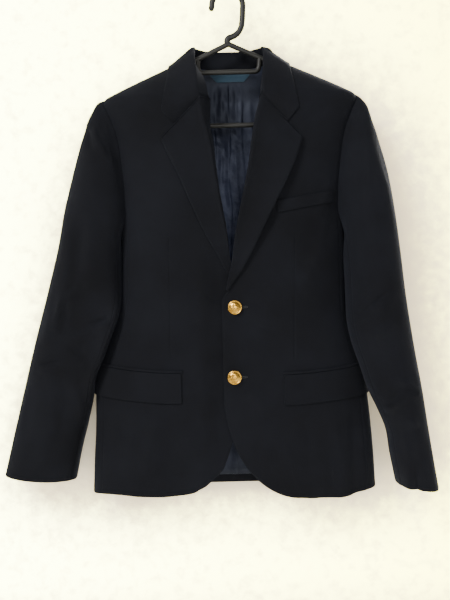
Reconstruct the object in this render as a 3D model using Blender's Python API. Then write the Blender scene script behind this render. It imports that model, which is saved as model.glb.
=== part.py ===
"""A school blazer hung on a slim moulded hanger, made of the pieces that a tailor cuts and sews.

Sizes are in millimetres, and become metres as each mesh is made. +Z is up, +X is the viewer's right, and -Y faces the
viewer. The origin is the inside of the hook's crook, where a rail or peg carries it.

Every body piece is a stretch of one surface, the hanging body of the blazer. A place on it is given by its height and
by its run: the length along the cloth from the front centre line, round one side, to the back centre line.
"""

import math

import bmesh
import bpy
import numpy as np

MM = 0.001
LEFT, RIGHT = -1, 1  # the viewer's left and right
SEAM = 0.15  # half the gap between two pieces at a seam
REST = 0.3  # gap under a piece that lies on another
WOOL = 2.0  # thickness of a body or sleeve wall, with its canvas
DOUBLE = 2.4  # thickness of the collar
SATIN = 1.0  # thickness of the lining
LINING_EASE = 1.4  # the lining hangs this far inside the back

# The hanging body: half width, depth of the front and back, and sideways lean at each height.
BODY_POWER = 2.6
BODY_COLUMNS = ("height", "half_width", "front", "back", "lean")
BODY_ROWS = (
    (-98.6, 62.0, 12.0, 24.0, 0.0),
    (-104.0, 73.7, 17.0, 27.0, 0.0),
    (-112.0, 91.0, 23.0, 30.5, 0.0),
    (-125.0, 119.4, 31.0, 34.0, 0.0),
    (-140.0, 152.0, 38.0, 36.5, 0.0),
    (-150.0, 173.0, 41.0, 37.5, 0.0),
    (-157.0, 186.0, 43.0, 38.0, 0.0),
    (-165.0, 191.0, 44.0, 38.0, 0.0),
    (-180.0, 189.0, 45.5, 38.5, 0.0),
    (-210.0, 181.0, 48.0, 39.0, -0.5),
    (-260.0, 174.0, 50.0, 39.0, -1.5),
    (-320.0, 166.0, 50.0, 37.0, -2.0),
    (-380.0, 161.0, 48.0, 34.0, -1.5),
    (-430.0, 164.0, 45.0, 31.0, -1.5),
    (-470.0, 169.0, 43.0, 29.0, -2.5),
    (-505.0, 176.0, 42.0, 29.5, -4.0),
    (-530.0, 185.0, 41.0, 30.5, -5.0),
    (-555.0, 194.0, 40.5, 31.5, -6.0),
    (-600.0, 200.5, 40.0, 33.0, -7.0),
    (-670.0, 207.0, 39.0, 36.0, -7.5),
    (-746.0, 211.0, 38.5, 38.5, -8.0),
)
NECK_HALF, NECK_HEIGHT, NECK_DIP = 62.0, -98.6, 9.4  # the neck point, and how far the back neck dips below it
SHOULDER_SLOPE = 0.46

# Soft folds of the body: face, start x and z, end x and z, width, and rise, which is negative for a trough.
BODY_FOLDS = (
    ("front", -112, -625, -145, -715, 13, 3.0),
    ("front", -62, -640, -88, -725, 15, 2.2),
    ("front", -15, -482, -120, -428, 15, 2.0),
    ("front", 24, -480, 118, -424, 15, 2.0),
    ("front", 150, -352, 96, -455, 14, 2.4),
    ("front", 165, -600, 168, -744, 11, -4.0),
    ("front", 118, -660, 122, -746, 12, 3.0),
    ("front", 60, -640, 78, -735, 15, 2.0),
    ("back", -100, -200, -70, -330, 20, 2.5),
    ("back", 104, -205, 72, -335, 20, 2.5),
    ("back", -60, -440, -128, -500, 15, 2.2),
    ("back", 56, -445, 126, -508, 15, 2.2),
    ("back", -96, -560, -110, -735, 20, 3.0),
    ("back", 88, -570, 104, -735, 20, 3.0),
)

# Armhole: an oval on the body's side, and how far it bites into the front and the back.
ARM_MIDDLE, ARM_HALF, ARM_POWER = -261.0, 104.0, 0.8
ARM_BITE = {"front": 31.0, "back": 34.0}
ARM_TUCK = 3.0  # the body's edge lies this far inside the sleeve's

SIDE_SEAM = {"front": 26.0, "back": 28.0}  # side panel's seams, from the side line

# Roll line of each lapel, its outer edge, and where the fronts' edges run.
ROLL = {
    LEFT: ((-100, -52.0), (-137, -48.0), (-173, -46.5), (-209, -32.0), (-253, -27.0), (-314, -18.5), (-358, -12.5),
           (-403, -6.0), (-440, 4.0)),
    RIGHT: ((-100, 52.0), (-137, 47.5), (-173, 46.5), (-211, 37.0), (-267, 26.0), (-328, 12.0), (-376, 2.0),
            (-400, -1.5), (-437, -11.0), (-456, -15.5)),
}
LAPEL_COLUMNS = ("roll_z", "edge_x", "edge_z")
LAPEL_ROWS = {
    LEFT: ((-173.5, -101, -227.5), (-200, -91, -249), (-232, -76, -281), (-267, -64, -310), (-303, -51, -341),
           (-335, -39, -367), (-366, -27, -389), (-392, -18, -407), (-414, -9, -424), (-436, -1, -443)),
    RIGHT: ((-171, 102, -230), (-200, 94, -251), (-236, 83, -276), (-276, 71, -300), (-316, 57, -327),
            (-352, 43, -355), (-386, 29, -383), (-418, 12, -414), (-445, -10, -447)),
}
EDGE_SLACK = 5.0  # a front's cut edge lies this far outside its roll line,
NECK_SLACK, FOOT_SLACK = 4.0, -2.2  # and this much further at the neck and at the lapel's foot
FRONT_HEM = {LEFT: -745.0, RIGHT: -751.0}
SIDE_HEM = {LEFT: -742.5, RIGHT: -746.0}
BACK_HEM, LINING_HEM = -741.0, -728.0
# The round front corner: the straight edge's x, the height where it starts to turn, and the turn's width.
FRONT_EDGE = {LEFT: (16.0, -575.0, 124.0), RIGHT: (-20.0, -600.0, 110.0)}
UNDERLAP_START, UNDERLAP_END = -437.0, -465.0
UNDERLAP_SINK = 5.2  # the lower front lies this much deeper, under the other front and its own lapel

# Collar sections from the gorge seam up to the neck point: x, y and z of the crest, x and z of the leaf's edge,
# and x, y and z of the stand's foot.
NOTCH = (82.0, -207.0)  # inner corner of the notch, x and height
COLLAR_FRONT_ROWS = (
    (47.0, -47.5, -161.0, 101.5, -184.5, 44.0, -35.0, -163.0),
    (47.8, -43.0, -142.0, 97.5, -165.0, 46.0, -30.0, -144.0),
    (49.0, -34.5, -122.0, 94.0, -146.0, 50.0, -20.0, -124.0),
    (50.5, -22.0, -101.0, 90.5, -128.0, 55.0, -10.0, -109.0),
)
CREST_SIDE, CREST_Y, CREST_BACK_Y, CREST_Z, CREST_BACK_Z = 52.0, -3.0, 30.5, -83.0, -80.0
LEAF_SIDE, LEAF_BACK_DROP = 89.0, 11.0

# Sleeves: silhouettes seen from the front, and sections from the armhole down to the cuff.
OUTER_EDGE = {
    LEFT: ((-157, -189), (-159, -195), (-162, -199.5), (-167, -202.6), (-173, -205.6), (-185, -211.5),
           (-209, -219.5), (-256, -234), (-304, -247), (-376, -263), (-447, -282), (-519, -302), (-590, -320),
           (-662, -337.5), (-713, -348.5)),
    RIGHT: ((-157, 189), (-160, 193), (-166, 198.5), (-172, 202.6), (-184, 206.6), (-196, 209.2), (-220, 216),
            (-271, 228), (-319, 235), (-391, 242), (-461, 247), (-531, 255), (-601, 266), (-672, 276), (-741, 288)),
}
UNDER_EDGE = {
    LEFT: ((-365, -165), (-372, -166), (-400, -167), (-430, -171), (-456, -175), (-487, -183), (-522, -197),
           (-552, -208), (-580, -214), (-605, -216.5), (-640, -225), (-680, -236), (-721, -245)),
    RIGHT: ((-365, 161), (-372, 162.5), (-404, 164.5), (-430, 165), (-465, 163.5), (-495, 163.5), (-527, 168.5),
            (-558, 178), (-595, 189), (-622, 201.5), (-650, 213), (-689, 219.5), (-733, 228)),
}
SLEEVE_COLUMNS = ("top_z", "under_z", "middle_y", "front", "back")
SLEEVE_ROWS = {
    LEFT: ((-157, -365, 0, 28, 27), (-166, -370, -1, 35, 31), (-184, -377, -2, 40, 35), (-216, -387, -2, 43, 37),
           (-262, -400, 0, 44, 38), (-322, -420, 2, 43, 37), (-388, -448, 4, 41, 36), (-452, -486, 5, 38, 34),
           (-518, -535, 5, 36, 32), (-586, -594, 4, 34, 30), (-652, -658, 2, 31, 28), (-713, -721, 0, 28, 25)),
    RIGHT: ((-157, -365, 0, 28, 27), (-166, -370, -3, 36, 31), (-184, -377, -5, 43, 34), (-216, -387, -9, 47, 36),
            (-262, -400, -14, 48, 37), (-322, -420, -20, 48, 38), (-388, -448, -27, 46, 39),
            (-452, -486, -35, 44, 38), (-518, -533, -42, 42, 36), (-586, -590, -42, 43, 36),
            (-652, -650, -38, 44, 37), (-741, -733, -31, 42, 38)),
}
SLEEVE_POWER = 2.25
SLEEVE_SEAMS = (150.0, 235.0)  # front and back seams, in degrees round the sleeve from its top line
CUFF_BOW = 1.5  # the cuff's front dips this much below a straight line
# Creases of the sleeves: place along and round the sleeve, length, width, slant and rise.
SLEEVE_CREASES = {
    LEFT: ((0.10, 62, 42, 0.022, 0.05, 2.6), (0.50, 70, 34, 0.020, -0.05, 3.0), (0.56, 118, 26, 0.016, 0.05, 2.6),
           (0.62, 40, 22, 0.018, 0.02, -2.2), (0.55, 250, 40, 0.022, 0.03, 2.6)),
    RIGHT: ((0.12, 60, 40, 0.024, 0.05, 2.6), (0.34, 70, 30, 0.022, -0.05, 2.2), (0.50, 84, 34, 0.020, 0.06, 3.0),
            (0.64, 60, 30, 0.018, -0.07, -3.0), (0.70, 76, 26, 0.018, 0.04, 3.0), (0.52, 250, 40, 0.022, 0.03, 2.6)),
}

# Pockets: x of the flap's front end, height of its top there and at the side.
FLAP_TOP = {LEFT: (-81.0, -565.5, -550.0), RIGHT: (68.0, -571.5, -558.0)}
FLAP_DROP, FLAP_OVERRUN = 43.5, 4.0
JET_HEIGHT, JET_THICKNESS, JET_OVERRUN = 4.8, 1.3, 2.0
WELT_ENDS = ((70.0, -335.0, -317.5), (143.0, -322.5, -305.0))  # x, bottom and top at each end
WELT_NEAR = 0.6  # gap behind the welt

BUTTONS = {"button_top": (-1.0, -471.0), "button_bottom": (-4.0, -572.5)}
BUTTON_RADIUS = 10.3
LABEL_GAP = 0.4
LABEL = {"left": -28.5, "right": 31.5, "top": -111.0, "bottom": -126.5, "cut": 5.0, "thickness": 0.8}

TUBE_RADIUS = 3.2
HOOK_RADIUS = 22.5
HANGER_FALL = 6.7  # the arm's centre lies this far below the shoulder line, so that its top carries the cloth

COLOURS = {
    "wool": ((0.010, 0.012, 0.020), 0.85, 0.0),
    "satin": ((0.035, 0.045, 0.090), 0.45, 0.0),
    "label_cloth": ((0.020, 0.080, 0.130), 0.55, 0.0),
    "gold": ((0.830, 0.520, 0.150), 0.30, 1.0),
    "plastic": ((0.040, 0.040, 0.036), 0.40, 0.0),
}


# ---------------------------------------------------------------- curves

def smooth(rows, at):
    """Value of a table of (place, value) rows at the given places, on a curve through its rows."""
    rows = sorted(rows)
    x = np.array([row[0] for row in rows], float)
    y = np.array([row[1] for row in rows], float)
    slope = np.gradient(y, x)
    at = np.clip(np.asarray(at, float), x[0], x[-1])
    k = np.clip(np.searchsorted(x, at, side="right") - 1, 0, len(x) - 2)
    step = x[k + 1] - x[k]
    t = (at - x[k]) / step
    keep = (1 + 2 * t) * (1 - t) ** 2 * y[k] + t * t * (3 - 2 * t) * y[k + 1]
    turn = t * (1 - t) ** 2 * step * slope[k] - t * t * (1 - t) * step * slope[k + 1]
    return keep + turn


def column(rows, names, name, key=0):
    """One named column of a table, as (place, value) rows; the place is the first column or the row's number."""
    k = names.index(name)
    return [(row[0] if key == 0 else i, row[k]) for i, row in enumerate(rows)]


def fade(value, start, end):
    """0 before start, 1 after end, smooth between."""
    t = np.clip((np.asarray(value, float) - start) / (end - start), 0.0, 1.0)
    return t * t * (3 - 2 * t)


def signed_power(value, power):
    return np.sign(value) * np.abs(value) ** power


def unit(vectors):
    return vectors / np.maximum(np.linalg.norm(vectors, axis=-1, keepdims=True), 1e-9)


# ---------------------------------------------------------------- the body's surface

def body(name, height):
    return smooth(column(BODY_ROWS, BODY_COLUMNS, name), height)


def section_point(angle, height):
    """Point of the body's plain surface; the angle is in degrees round it: 0 at +X, -90 front, 90 back."""
    angle, height = np.broadcast_arrays(np.asarray(angle, float), np.asarray(height, float))
    across, deep = np.cos(np.radians(angle)), np.sin(np.radians(angle))
    depth = np.where(deep < 0, body("front", height), body("back", height))
    x = body("lean", height) + body("half_width", height) * signed_power(across, 2 / BODY_POWER)
    y = depth * signed_power(deep, 2 / BODY_POWER)
    return np.stack((x, y, height), axis=-1)


def section_normal(angle, height):
    """Outward direction of the plain surface."""
    round_it = section_point(angle + 0.6, height) - section_point(angle - 0.6, height)
    up_it = section_point(angle, height + 1.0) - section_point(angle, height - 1.0)
    return unit(np.cross(round_it, up_it))


def fold_rise(x, z, front):
    """How far the soft folds lift the cloth at a place on the front or the back."""
    rise = np.zeros_like(x)
    for face, x0, z0, x1, z1, width, height in BODY_FOLDS:
        along = np.array([x1 - x0, z1 - z0], float)
        length = np.hypot(*along)
        t = ((x - x0) * along[0] + (z - z0) * along[1]) / length ** 2
        t_near = np.clip(t, 0, 1)
        gap = np.hypot(x - x0 - t_near * along[0], z - z0 - t_near * along[1])
        ends = np.clip(np.sin(math.pi * np.clip(t, 0.0, 1.0)), 0, 1) ** 0.7
        if z1 < -730:
            ends = fade(t, 0.0, 0.6)
        rise += np.where(front == (face == "front"), height * ends * np.exp(-(gap / width) ** 2), 0.0)
    return rise


def body_point(angle, height, out=0.0):
    """Point of the folded body surface, moved out along its normal."""
    base = section_point(angle, height)
    front = np.sin(np.radians(angle)) < 0
    rise = fold_rise(base[..., 0], base[..., 2], front)
    return base + section_normal(angle, height) * (out + rise)[..., None]


# Length along the cloth from the front centre line, tabled by height and by the angle turned.
TURNS = np.linspace(0.0, 180.0, 361)
TABLE_TOP, TABLE_FOOT = NECK_HEIGHT, min(FRONT_HEM.values())
TABLE_HEIGHTS = np.linspace(TABLE_TOP, TABLE_FOOT, 325)


def run_table():
    points = section_point(TURNS[None, :] - 90.0, TABLE_HEIGHTS[:, None])
    steps = np.linalg.norm(np.diff(points, axis=1), axis=-1)
    return np.concatenate((np.zeros((len(TABLE_HEIGHTS), 1)), np.cumsum(steps, axis=1)), axis=1)


RUNS = run_table()


def run_of_turn(turn, height):
    """Run at an angle turned from the front centre line (0 to 180)."""
    turn, height = np.broadcast_arrays(np.asarray(turn, float), np.asarray(height, float))
    row = np.clip((height - TABLE_TOP) / (TABLE_FOOT - TABLE_TOP), 0, 1) * (len(TABLE_HEIGHTS) - 1)
    col = np.clip(turn / 180.0, 0, 1) * (len(TURNS) - 1)
    r0 = np.minimum(row.astype(int), len(TABLE_HEIGHTS) - 2)
    c0 = np.minimum(col.astype(int), len(TURNS) - 2)
    fr, fc = row - r0, col - c0
    top = RUNS[r0, c0] * (1 - fc) + RUNS[r0, c0 + 1] * fc
    foot = RUNS[r0 + 1, c0] * (1 - fc) + RUNS[r0 + 1, c0 + 1] * fc
    return top * (1 - fr) + foot * fr


def turn_of_run(run, height):
    """Angle turned from the front centre line at a run, found by halving."""
    low, high = np.zeros_like(run), np.full_like(run, 180.0)
    for _ in range(26):
        middle = (low + high) / 2
        short = run_of_turn(middle, height) < run
        low, high = np.where(short, middle, low), np.where(short, high, middle)
    return (low + high) / 2


def place(side, run, height, out=0.0):
    """Point at a run and height on one side; a negative run crosses the front centre line."""
    run, height, out = np.broadcast_arrays(np.asarray(run, float), np.asarray(height, float), np.asarray(out, float))
    turn = turn_of_run(np.abs(run), height)
    on_right = side * np.where(run < 0, -1, 1) > 0
    return body_point(np.where(on_right, turn - 90.0, 270.0 - turn), height, out)


def side_run(height):
    return run_of_turn(90.0, height)


def run_at_x(side, x, height):
    """Run of the front's point at a given x, negative past the centre line."""
    across = side * (x - body("lean", height)) / body("half_width", height)
    turn = 90.0 - np.degrees(np.arccos(np.clip(np.abs(across), 0, 1) ** (BODY_POWER / 2)))
    return np.sign(across) * run_of_turn(turn, height)


def chest_point(x, z, out=0.0):
    """Point of the front at a given x and height."""
    x, z, out = np.broadcast_arrays(np.asarray(x, float), np.asarray(z, float), np.asarray(out, float))
    across = (x - body("lean", z)) / body("half_width", z)
    angle = -np.degrees(np.arccos(np.clip(signed_power(across, BODY_POWER / 2), -1, 1)))
    return body_point(angle, z, out)


def back_point(x, z, out=0.0):
    """Point of the back at a given x and height."""
    x, z, out = np.broadcast_arrays(np.asarray(x, float), np.asarray(z, float), np.asarray(out, float))
    across = (x - body("lean", z)) / body("half_width", z)
    angle = np.degrees(np.arccos(np.clip(signed_power(across, BODY_POWER / 2), -1, 1)))
    return body_point(angle, z, out)


# ---------------------------------------------------------------- meshes

def material(name):
    found = bpy.data.materials.get(name)
    if found:
        return found
    colour, roughness, metallic = COLOURS[name]
    made = bpy.data.materials.new(name)
    made.use_nodes = True
    shader = made.node_tree.nodes["Principled BSDF"]
    shader.inputs["Base Color"].default_value = (*colour, 1.0)
    shader.inputs["Roughness"].default_value = roughness
    shader.inputs["Metallic"].default_value = metallic
    return made


def add_object(name, data, finish, parent):
    data.materials.append(material(finish))
    thing = bpy.data.objects.new(name, data)
    thing.parent = parent
    bpy.context.scene.collection.objects.link(thing)
    return thing


def add_mesh(name, points, faces, finish, parent):
    """A closed smooth-shaded mesh, its points in millimetres, its faces turned outward."""
    mesh = bpy.data.meshes.new(name)
    mesh.from_pydata([tuple(point) for point in np.asarray(points) * MM], [], faces)
    shape = bmesh.new()
    shape.from_mesh(mesh)
    bmesh.ops.recalc_face_normals(shape, faces=shape.faces)
    shape.to_mesh(mesh)
    shape.free()
    mesh.shade_smooth()
    mesh.set_sharp_from_angle(angle=math.radians(40))
    return add_object(name, mesh, finish, parent)


def add_wall(name, outer, inner, finish, parent):
    """A wall of cloth between two grids of points, closed round its four edges."""
    rows, cols = outer.shape[:2]
    points = np.concatenate((outer.reshape(-1, 3), inner.reshape(-1, 3)))
    back = rows * cols
    faces = []
    for row in range(rows - 1):
        for col in range(cols - 1):
            a = row * cols + col
            faces.append((a, a + 1, a + cols + 1, a + cols))
            faces.append((back + a + cols, back + a + cols + 1, back + a + 1, back + a))
    rim = [col for col in range(cols)] + [row * cols + cols - 1 for row in range(1, rows)]
    rim += [(rows - 1) * cols + col for col in range(cols - 2, -1, -1)] + [row * cols for row in range(rows - 2, 0, -1)]
    for here, after in zip(rim, rim[1:] + rim[:1]):
        faces.append((after, here, back + here, back + after))
    return add_mesh(name, points, faces, finish, parent)


def grid_wall(name, face, thickness, finish, parent):
    """A wall behind a grid of visible points. The grid's rows go one way and its columns the other."""
    along_rows, along_cols = np.gradient(face, axis=0), np.gradient(face, axis=1)
    normal = unit(np.cross(along_rows, along_cols))
    return add_wall(name, face, face - thickness * normal, finish, parent)


def spread(start, end, count):
    """Columns from start to end for each row, as a grid."""
    share = np.linspace(0.0, 1.0, count)[None, :]
    return np.asarray(start)[:, None] * (1 - share) + np.asarray(end)[:, None] * share


# ---------------------------------------------------------------- body panels

def armhole_bite(height, face, tuck=0.0):
    """Run from the side line to the armhole's edge at a height, 0 above and below it."""
    q = np.clip(np.abs(np.asarray(height, float) - ARM_MIDDLE) / (ARM_HALF - tuck), 0, 1)
    return np.maximum(ARM_BITE[face] * (1 - q * q) ** (ARM_POWER / 2) - tuck, 0.0)


def armhole_foot(bite, face):
    """Height of the armhole's lower edge at a run from the side line."""
    share = np.clip((bite + ARM_TUCK) / ARM_BITE[face], 0, 1) ** (2 / ARM_POWER)
    return ARM_MIDDLE - (ARM_HALF - ARM_TUCK) * np.sqrt(1 - share)


def seam_meeting(face):
    """Height where the side panel's seam meets the armhole."""
    return float(armhole_foot(np.array(SIDE_SEAM[face]), face))


def outer_limit(height, face):
    """Run of a front's outer edge, or of a back's measured from the side line: shoulder, armhole, then seam."""
    below = height < seam_meeting(face)
    bite = np.where(below, SIDE_SEAM[face], armhole_bite(height, face, ARM_TUCK))
    return bite + np.where(height > ARM_MIDDLE + ARM_HALF - ARM_TUCK, 0.0, SEAM)


def seam_tuck(height, face):
    """Run that keeps the shoulder seam's gap, measured across the steep ridge."""
    depth = body(face, height)
    turned = np.degrees(np.arcsin((SEAM / depth) ** (BODY_POWER / 2)))
    return abs(side_run(height) - run_of_turn(90.0 - turned, height))


def front_inner_x(side, height):
    """x of a front's inner edge: beside the roll line, then the straight edge, then the round corner."""
    slack = EDGE_SLACK + NECK_SLACK * fade(height, -130.0, -101.0)
    slack = slack + FOOT_SLACK * fade(-height, 420.0, -LAPEL_FOOT)
    roll = smooth(ROLL[side], height) + side * slack
    edge, turn_height, turn_width = FRONT_EDGE[side]
    drop = np.clip((turn_height - height) / (turn_height - FRONT_HEM[side]), 0, 1)
    straight = edge + side * turn_width * (1 - np.sqrt(1 - (0.999 * drop) ** 2))
    if side == LEFT:
        mix = fade(-height, -UNDERLAP_START, -UNDERLAP_END)
    else:
        mix = fade(-height, -LAPEL_FOOT, 462.0)
    return roll * (1 - mix) + straight * mix


def underlap_sink(side, x, height):
    """How far the lower front is pressed in where the other laps over it."""
    if side == RIGHT:
        return np.zeros_like(x)
    return UNDERLAP_SINK * fade(x, -52.0, -24.0) * fade(-height, 370.0, 400.0)


def row_heights(start, end, count, crowd):
    """Heights from start to end, closer together near the end as crowd grows."""
    t = np.linspace(0.0, 1.0, count)
    return start + (end - start) * (1 - (1 - t) ** crowd)


# Rows that the fronts, sides and backs share; one lies at the foot of the lapels.
LAPEL_FOOT = -446.0
MIDDLE_HEIGHTS = np.concatenate((np.linspace(-188.0, LAPEL_FOOT, 10), np.linspace(LAPEL_FOOT, -600.0, 7)[1:]))
FRONT_COLUMNS, SIDE_COLUMNS, BACK_COLUMNS = 11, 8, 9


def build_front(side, parent):
    top = np.array([-101.0, -106.0, -113.0, -122.0, -133.0, -146.0, -157.5, -168.0])
    height = np.concatenate((top, MIDDLE_HEIGHTS, row_heights(MIDDLE_HEIGHTS[-1], FRONT_HEM[side], 10, 1.7)[1:]))
    inner = run_at_x(side, front_inner_x(side, height), height)
    outer = side_run(height) - outer_limit(height, "front")
    ridge = height > ARM_MIDDLE + ARM_HALF - ARM_TUCK
    outer = np.where(ridge, side_run(height) - seam_tuck(height, "front"), outer)
    inner[0] = min(inner[0], outer[0] - 4.0)
    run = spread(inner, outer, FRONT_COLUMNS)
    z = np.repeat(height[:, None], FRONT_COLUMNS, axis=1)
    flat = place(side, run, z)
    sink = underlap_sink(side, flat[..., 0], z)
    add_wall(f"front_{SIDE_NAMES[side]}", place(side, run, z, -sink), place(side, run, z, -sink - WOOL), "wool",
             parent)


def build_side(side, parent):
    across = np.linspace(-SIDE_SEAM["front"] + SEAM, SIDE_SEAM["back"] - SEAM, SIDE_COLUMNS)
    top = np.where(across < 0, armhole_foot(np.abs(across), "front"), armhole_foot(np.abs(across), "back"))
    straight = np.concatenate((MIDDLE_HEIGHTS[MIDDLE_HEIGHTS < -367.0], np.linspace(MIDDLE_HEIGHTS[-1], SIDE_HEM[side], 6)[1:]))
    arched = [top + (straight[0] - top) * share for share in (0.0, 0.5)]
    z = np.concatenate((arched, np.repeat(straight[:, None], len(across), axis=1)))
    run = side_run(z) + across[None, :]
    add_wall(f"side_{SIDE_NAMES[side]}", place(side, run, z), place(side, run, z, -WOOL), "wool", parent)


NECK_TURNS = (0, 15, 30, 45, 60, 75, 90)  # places round the back neck, from the neck point to the centre


def neckline_x(height):
    """Half width of the back neck at a height."""
    dip = np.clip((NECK_HEIGHT - height) / NECK_DIP, 0, 1)
    return NECK_HALF * np.sqrt(1 - dip * dip)


def build_back(side, parent):
    neck = [NECK_HEIGHT - NECK_DIP * math.sin(math.radians(turn)) for turn in NECK_TURNS[1:]]
    top = np.array([-99.6] + neck + [-114.0, -123.0, -134.0, -147.0, -157.5, -169.0])
    height = np.concatenate((top, MIDDLE_HEIGHTS, np.linspace(MIDDLE_HEIGHTS[-1], BACK_HEM, 6)[1:]))
    total = run_of_turn(180.0, height)
    across = np.clip(neckline_x(height) / body("half_width", height), 0, 1) ** (BODY_POWER / 2)
    neck = run_of_turn(90.0 + np.degrees(np.arccos(across)), height)
    inner = np.minimum(neck, total - SEAM)
    ridge = height > ARM_MIDDLE + ARM_HALF - ARM_TUCK
    bite = np.where(ridge, seam_tuck(height, "back"), outer_limit(height, "back"))
    outer = side_run(height) + bite
    run = spread(outer, inner, BACK_COLUMNS)
    z = np.repeat(height[:, None], BACK_COLUMNS, axis=1)
    add_wall(f"back_{SIDE_NAMES[side]}", place(side, run, z), place(side, run, z, -WOOL), "wool", parent)


# ---------------------------------------------------------------- sleeves

def sleeve_section(side, along, theta):
    """Point of a plain sleeve; along is 0 at the armhole and 1 at the cuff, theta in degrees from the top line."""
    rows = SLEEVE_ROWS[side]
    number = along * (len(rows) - 1)
    top_z, under_z, middle_y, front, back = (
        smooth(column(rows, SLEEVE_COLUMNS, name, key=1), number) for name in SLEEVE_COLUMNS)
    across, deep = np.cos(np.radians(theta)), np.sin(np.radians(theta))
    across, deep = signed_power(across, 2 / SLEEVE_POWER), signed_power(deep, 2 / SLEEVE_POWER)
    top_x, under_x = smooth(OUTER_EDGE[side], top_z), smooth(UNDER_EDGE[side], under_z)
    x = (top_x + under_x) / 2 + across * (top_x - under_x) / 2
    z = (top_z + under_z) / 2 + across * (top_z - under_z) / 2 - CUFF_BOW * fade(along, 0.8, 1.0) * (1 - across ** 2)
    y = middle_y - deep * np.where(deep > 0, front, back)
    return np.stack((x, y, z), axis=-1)


def armhole_loop(side, theta):
    """Point of the armhole seam, lifted so that the sleeve's wall clears the body's."""
    across, deep = np.cos(np.radians(theta)), np.sin(np.radians(theta))
    z = ARM_MIDDLE + ARM_HALF * across
    bite = np.abs(deep) ** ARM_POWER * np.where(deep > 0, -ARM_BITE["front"], ARM_BITE["back"])
    lift = 1.8 + np.where(across > 0, 1.1, 0.7) * across + 0.4 * deep ** 2
    return place(side, side_run(z) + bite, z, lift)


def sleeve_point(side, along, theta):
    along, theta = np.broadcast_arrays(np.asarray(along, float), np.asarray(theta, float))
    plain = sleeve_section(side, along, theta)
    pull = armhole_loop(side, theta) - sleeve_section(side, np.zeros_like(along), theta)
    return plain + pull * (1 - fade(along, 0.0, 0.4))[..., None]


def crease_rise(side, along, theta):
    rise = np.zeros_like(along)
    for at, turn, length, width, slant, height in SLEEVE_CREASES[side]:
        gone = (theta - turn + 180.0) % 360.0 - 180.0
        down = along - at - slant * gone / length
        rise += height * np.exp(-(gone / length) ** 2 - (down / width) ** 2)
    return rise


def sleeve_wall(side, along, theta):
    """Outer and inner points of a stretch of sleeve."""
    step, turn = 0.004, 1.0
    before, after = np.maximum(along - step, 0.0), np.minimum(along + step, 1.0)
    down = sleeve_point(side, after, theta) - sleeve_point(side, before, theta)
    round_it = sleeve_point(side, along, theta + turn) - sleeve_point(side, along, theta - turn)
    normal = -side * unit(np.cross(down, round_it))
    outer = sleeve_point(side, along, theta) + normal * crease_rise(side, along, theta)[..., None]
    return outer, outer - normal * WOOL


def build_sleeves(side, parent):
    split = 0.25  # degrees off each seam
    front_seam, back_seam = SLEEVE_SEAMS
    along = np.concatenate((np.array([0.0, 0.035, 0.08, 0.14]), np.linspace(0.21, 1.0, 13)))[:, None]
    for name, start, end, count in (("top_sleeve", back_seam - 360.0 + split, front_seam - split, 15),
                                    ("under_sleeve", front_seam + split, back_seam - split, 6)):
        along_grid, theta = np.broadcast_arrays(along, np.linspace(start, end, count)[None, :])
        outer, inner = sleeve_wall(side, along_grid, theta)
        add_wall(f"{name}_{SIDE_NAMES[side]}", outer, inner, "wool", parent)


# ---------------------------------------------------------------- collar and lapels

# The turn of the roll, from its crest into the neck: how far in, and how far out from the chest.
ROLL_LIP = ((0.0, 6.6), (1.5, 4.6), (2.3, 0.5), (2.4, -5.0), (2.0, -11.0))
LEAF_OUT, ROLL_OUT, ROLL_REACH = 2.8, 4.0, 9.0
LEAF_SHARES = (1.0, 0.8, 0.6, 0.4, 0.22, 0.08)  # places across a lapel or leaf, from its outer edge to the roll


def leaf_out(distance, bulge):
    """Height of a lapel or leaf over the chest at a distance from the roll line."""
    return LEAF_OUT + bulge * ROLL_OUT * np.exp(-distance / ROLL_REACH)


def lapel_section(side, roll_z, edge_x, edge_z, lift, bulge, deep):
    """Visible points of one lapel section, from its outer edge over the roll line into the neck."""
    roll_x = float(smooth(ROLL[side], roll_z))
    share = np.array(LEAF_SHARES)
    width = math.hypot(edge_x - roll_x, edge_z - roll_z)
    x, z = roll_x + share * (edge_x - roll_x), roll_z + share * (edge_z - roll_z)
    sink = underlap_sink(side, x, z)
    leaf = chest_point(x, z, leaf_out(share * width, bulge) + lift * share - sink)
    lip = []
    for inward, out in ROLL_LIP:
        rise = LEAF_OUT + bulge * (out - LEAF_OUT) if out > 0 else out * deep
        at = chest_point(roll_x, roll_z, 0.0)
        normal = unit(chest_point(roll_x, roll_z, 1.0) - at)
        lip.append(at + normal * (rise - float(underlap_sink(side, np.array(roll_x), roll_z)))
                   - np.array([side * inward * max(bulge, 0.35), 0.0, 0.0]))
    return np.concatenate((leaf, np.array(lip)))


def build_lapel(side, parent):
    rows = LAPEL_ROWS[side]
    number = np.linspace(0.0, len(rows) - 1.0, 15)
    values = [smooth(column(rows, LAPEL_COLUMNS, name, key=1), number) for name in LAPEL_COLUMNS]
    grid = []
    for k, (roll_z, edge_x, edge_z) in enumerate(zip(*values)):
        share = k / (len(number) - 1)
        lift = 2.2 * math.sin(math.pi * min(1.0, 0.12 + share)) ** 0.8
        bulge = 1.0 - (0.75 * share ** 4 if side == RIGHT else 0.95 * float(fade(-roll_z, 345.0, 400.0)))
        deep = 1.0 - 0.85 * float(fade(-roll_z, 330.0, 385.0))
        section = lapel_section(side, roll_z, edge_x, edge_z, lift, bulge, deep)
        if k == 0:
            section = section - np.array([0.0, 0.0, 6 * SEAM])
        grid.append(section)
    grid = np.array(grid)
    grid_wall(f"lapel_{SIDE_NAMES[side]}", grid[:, ::-1] if side == RIGHT else grid, DOUBLE - 0.4, "wool", parent)


STAND_SHARES = (0.0, 0.18, 0.5, 1.0)
LEAF_GAP = 3.8  # the leaf's visible face lies at least this far over the body


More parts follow.
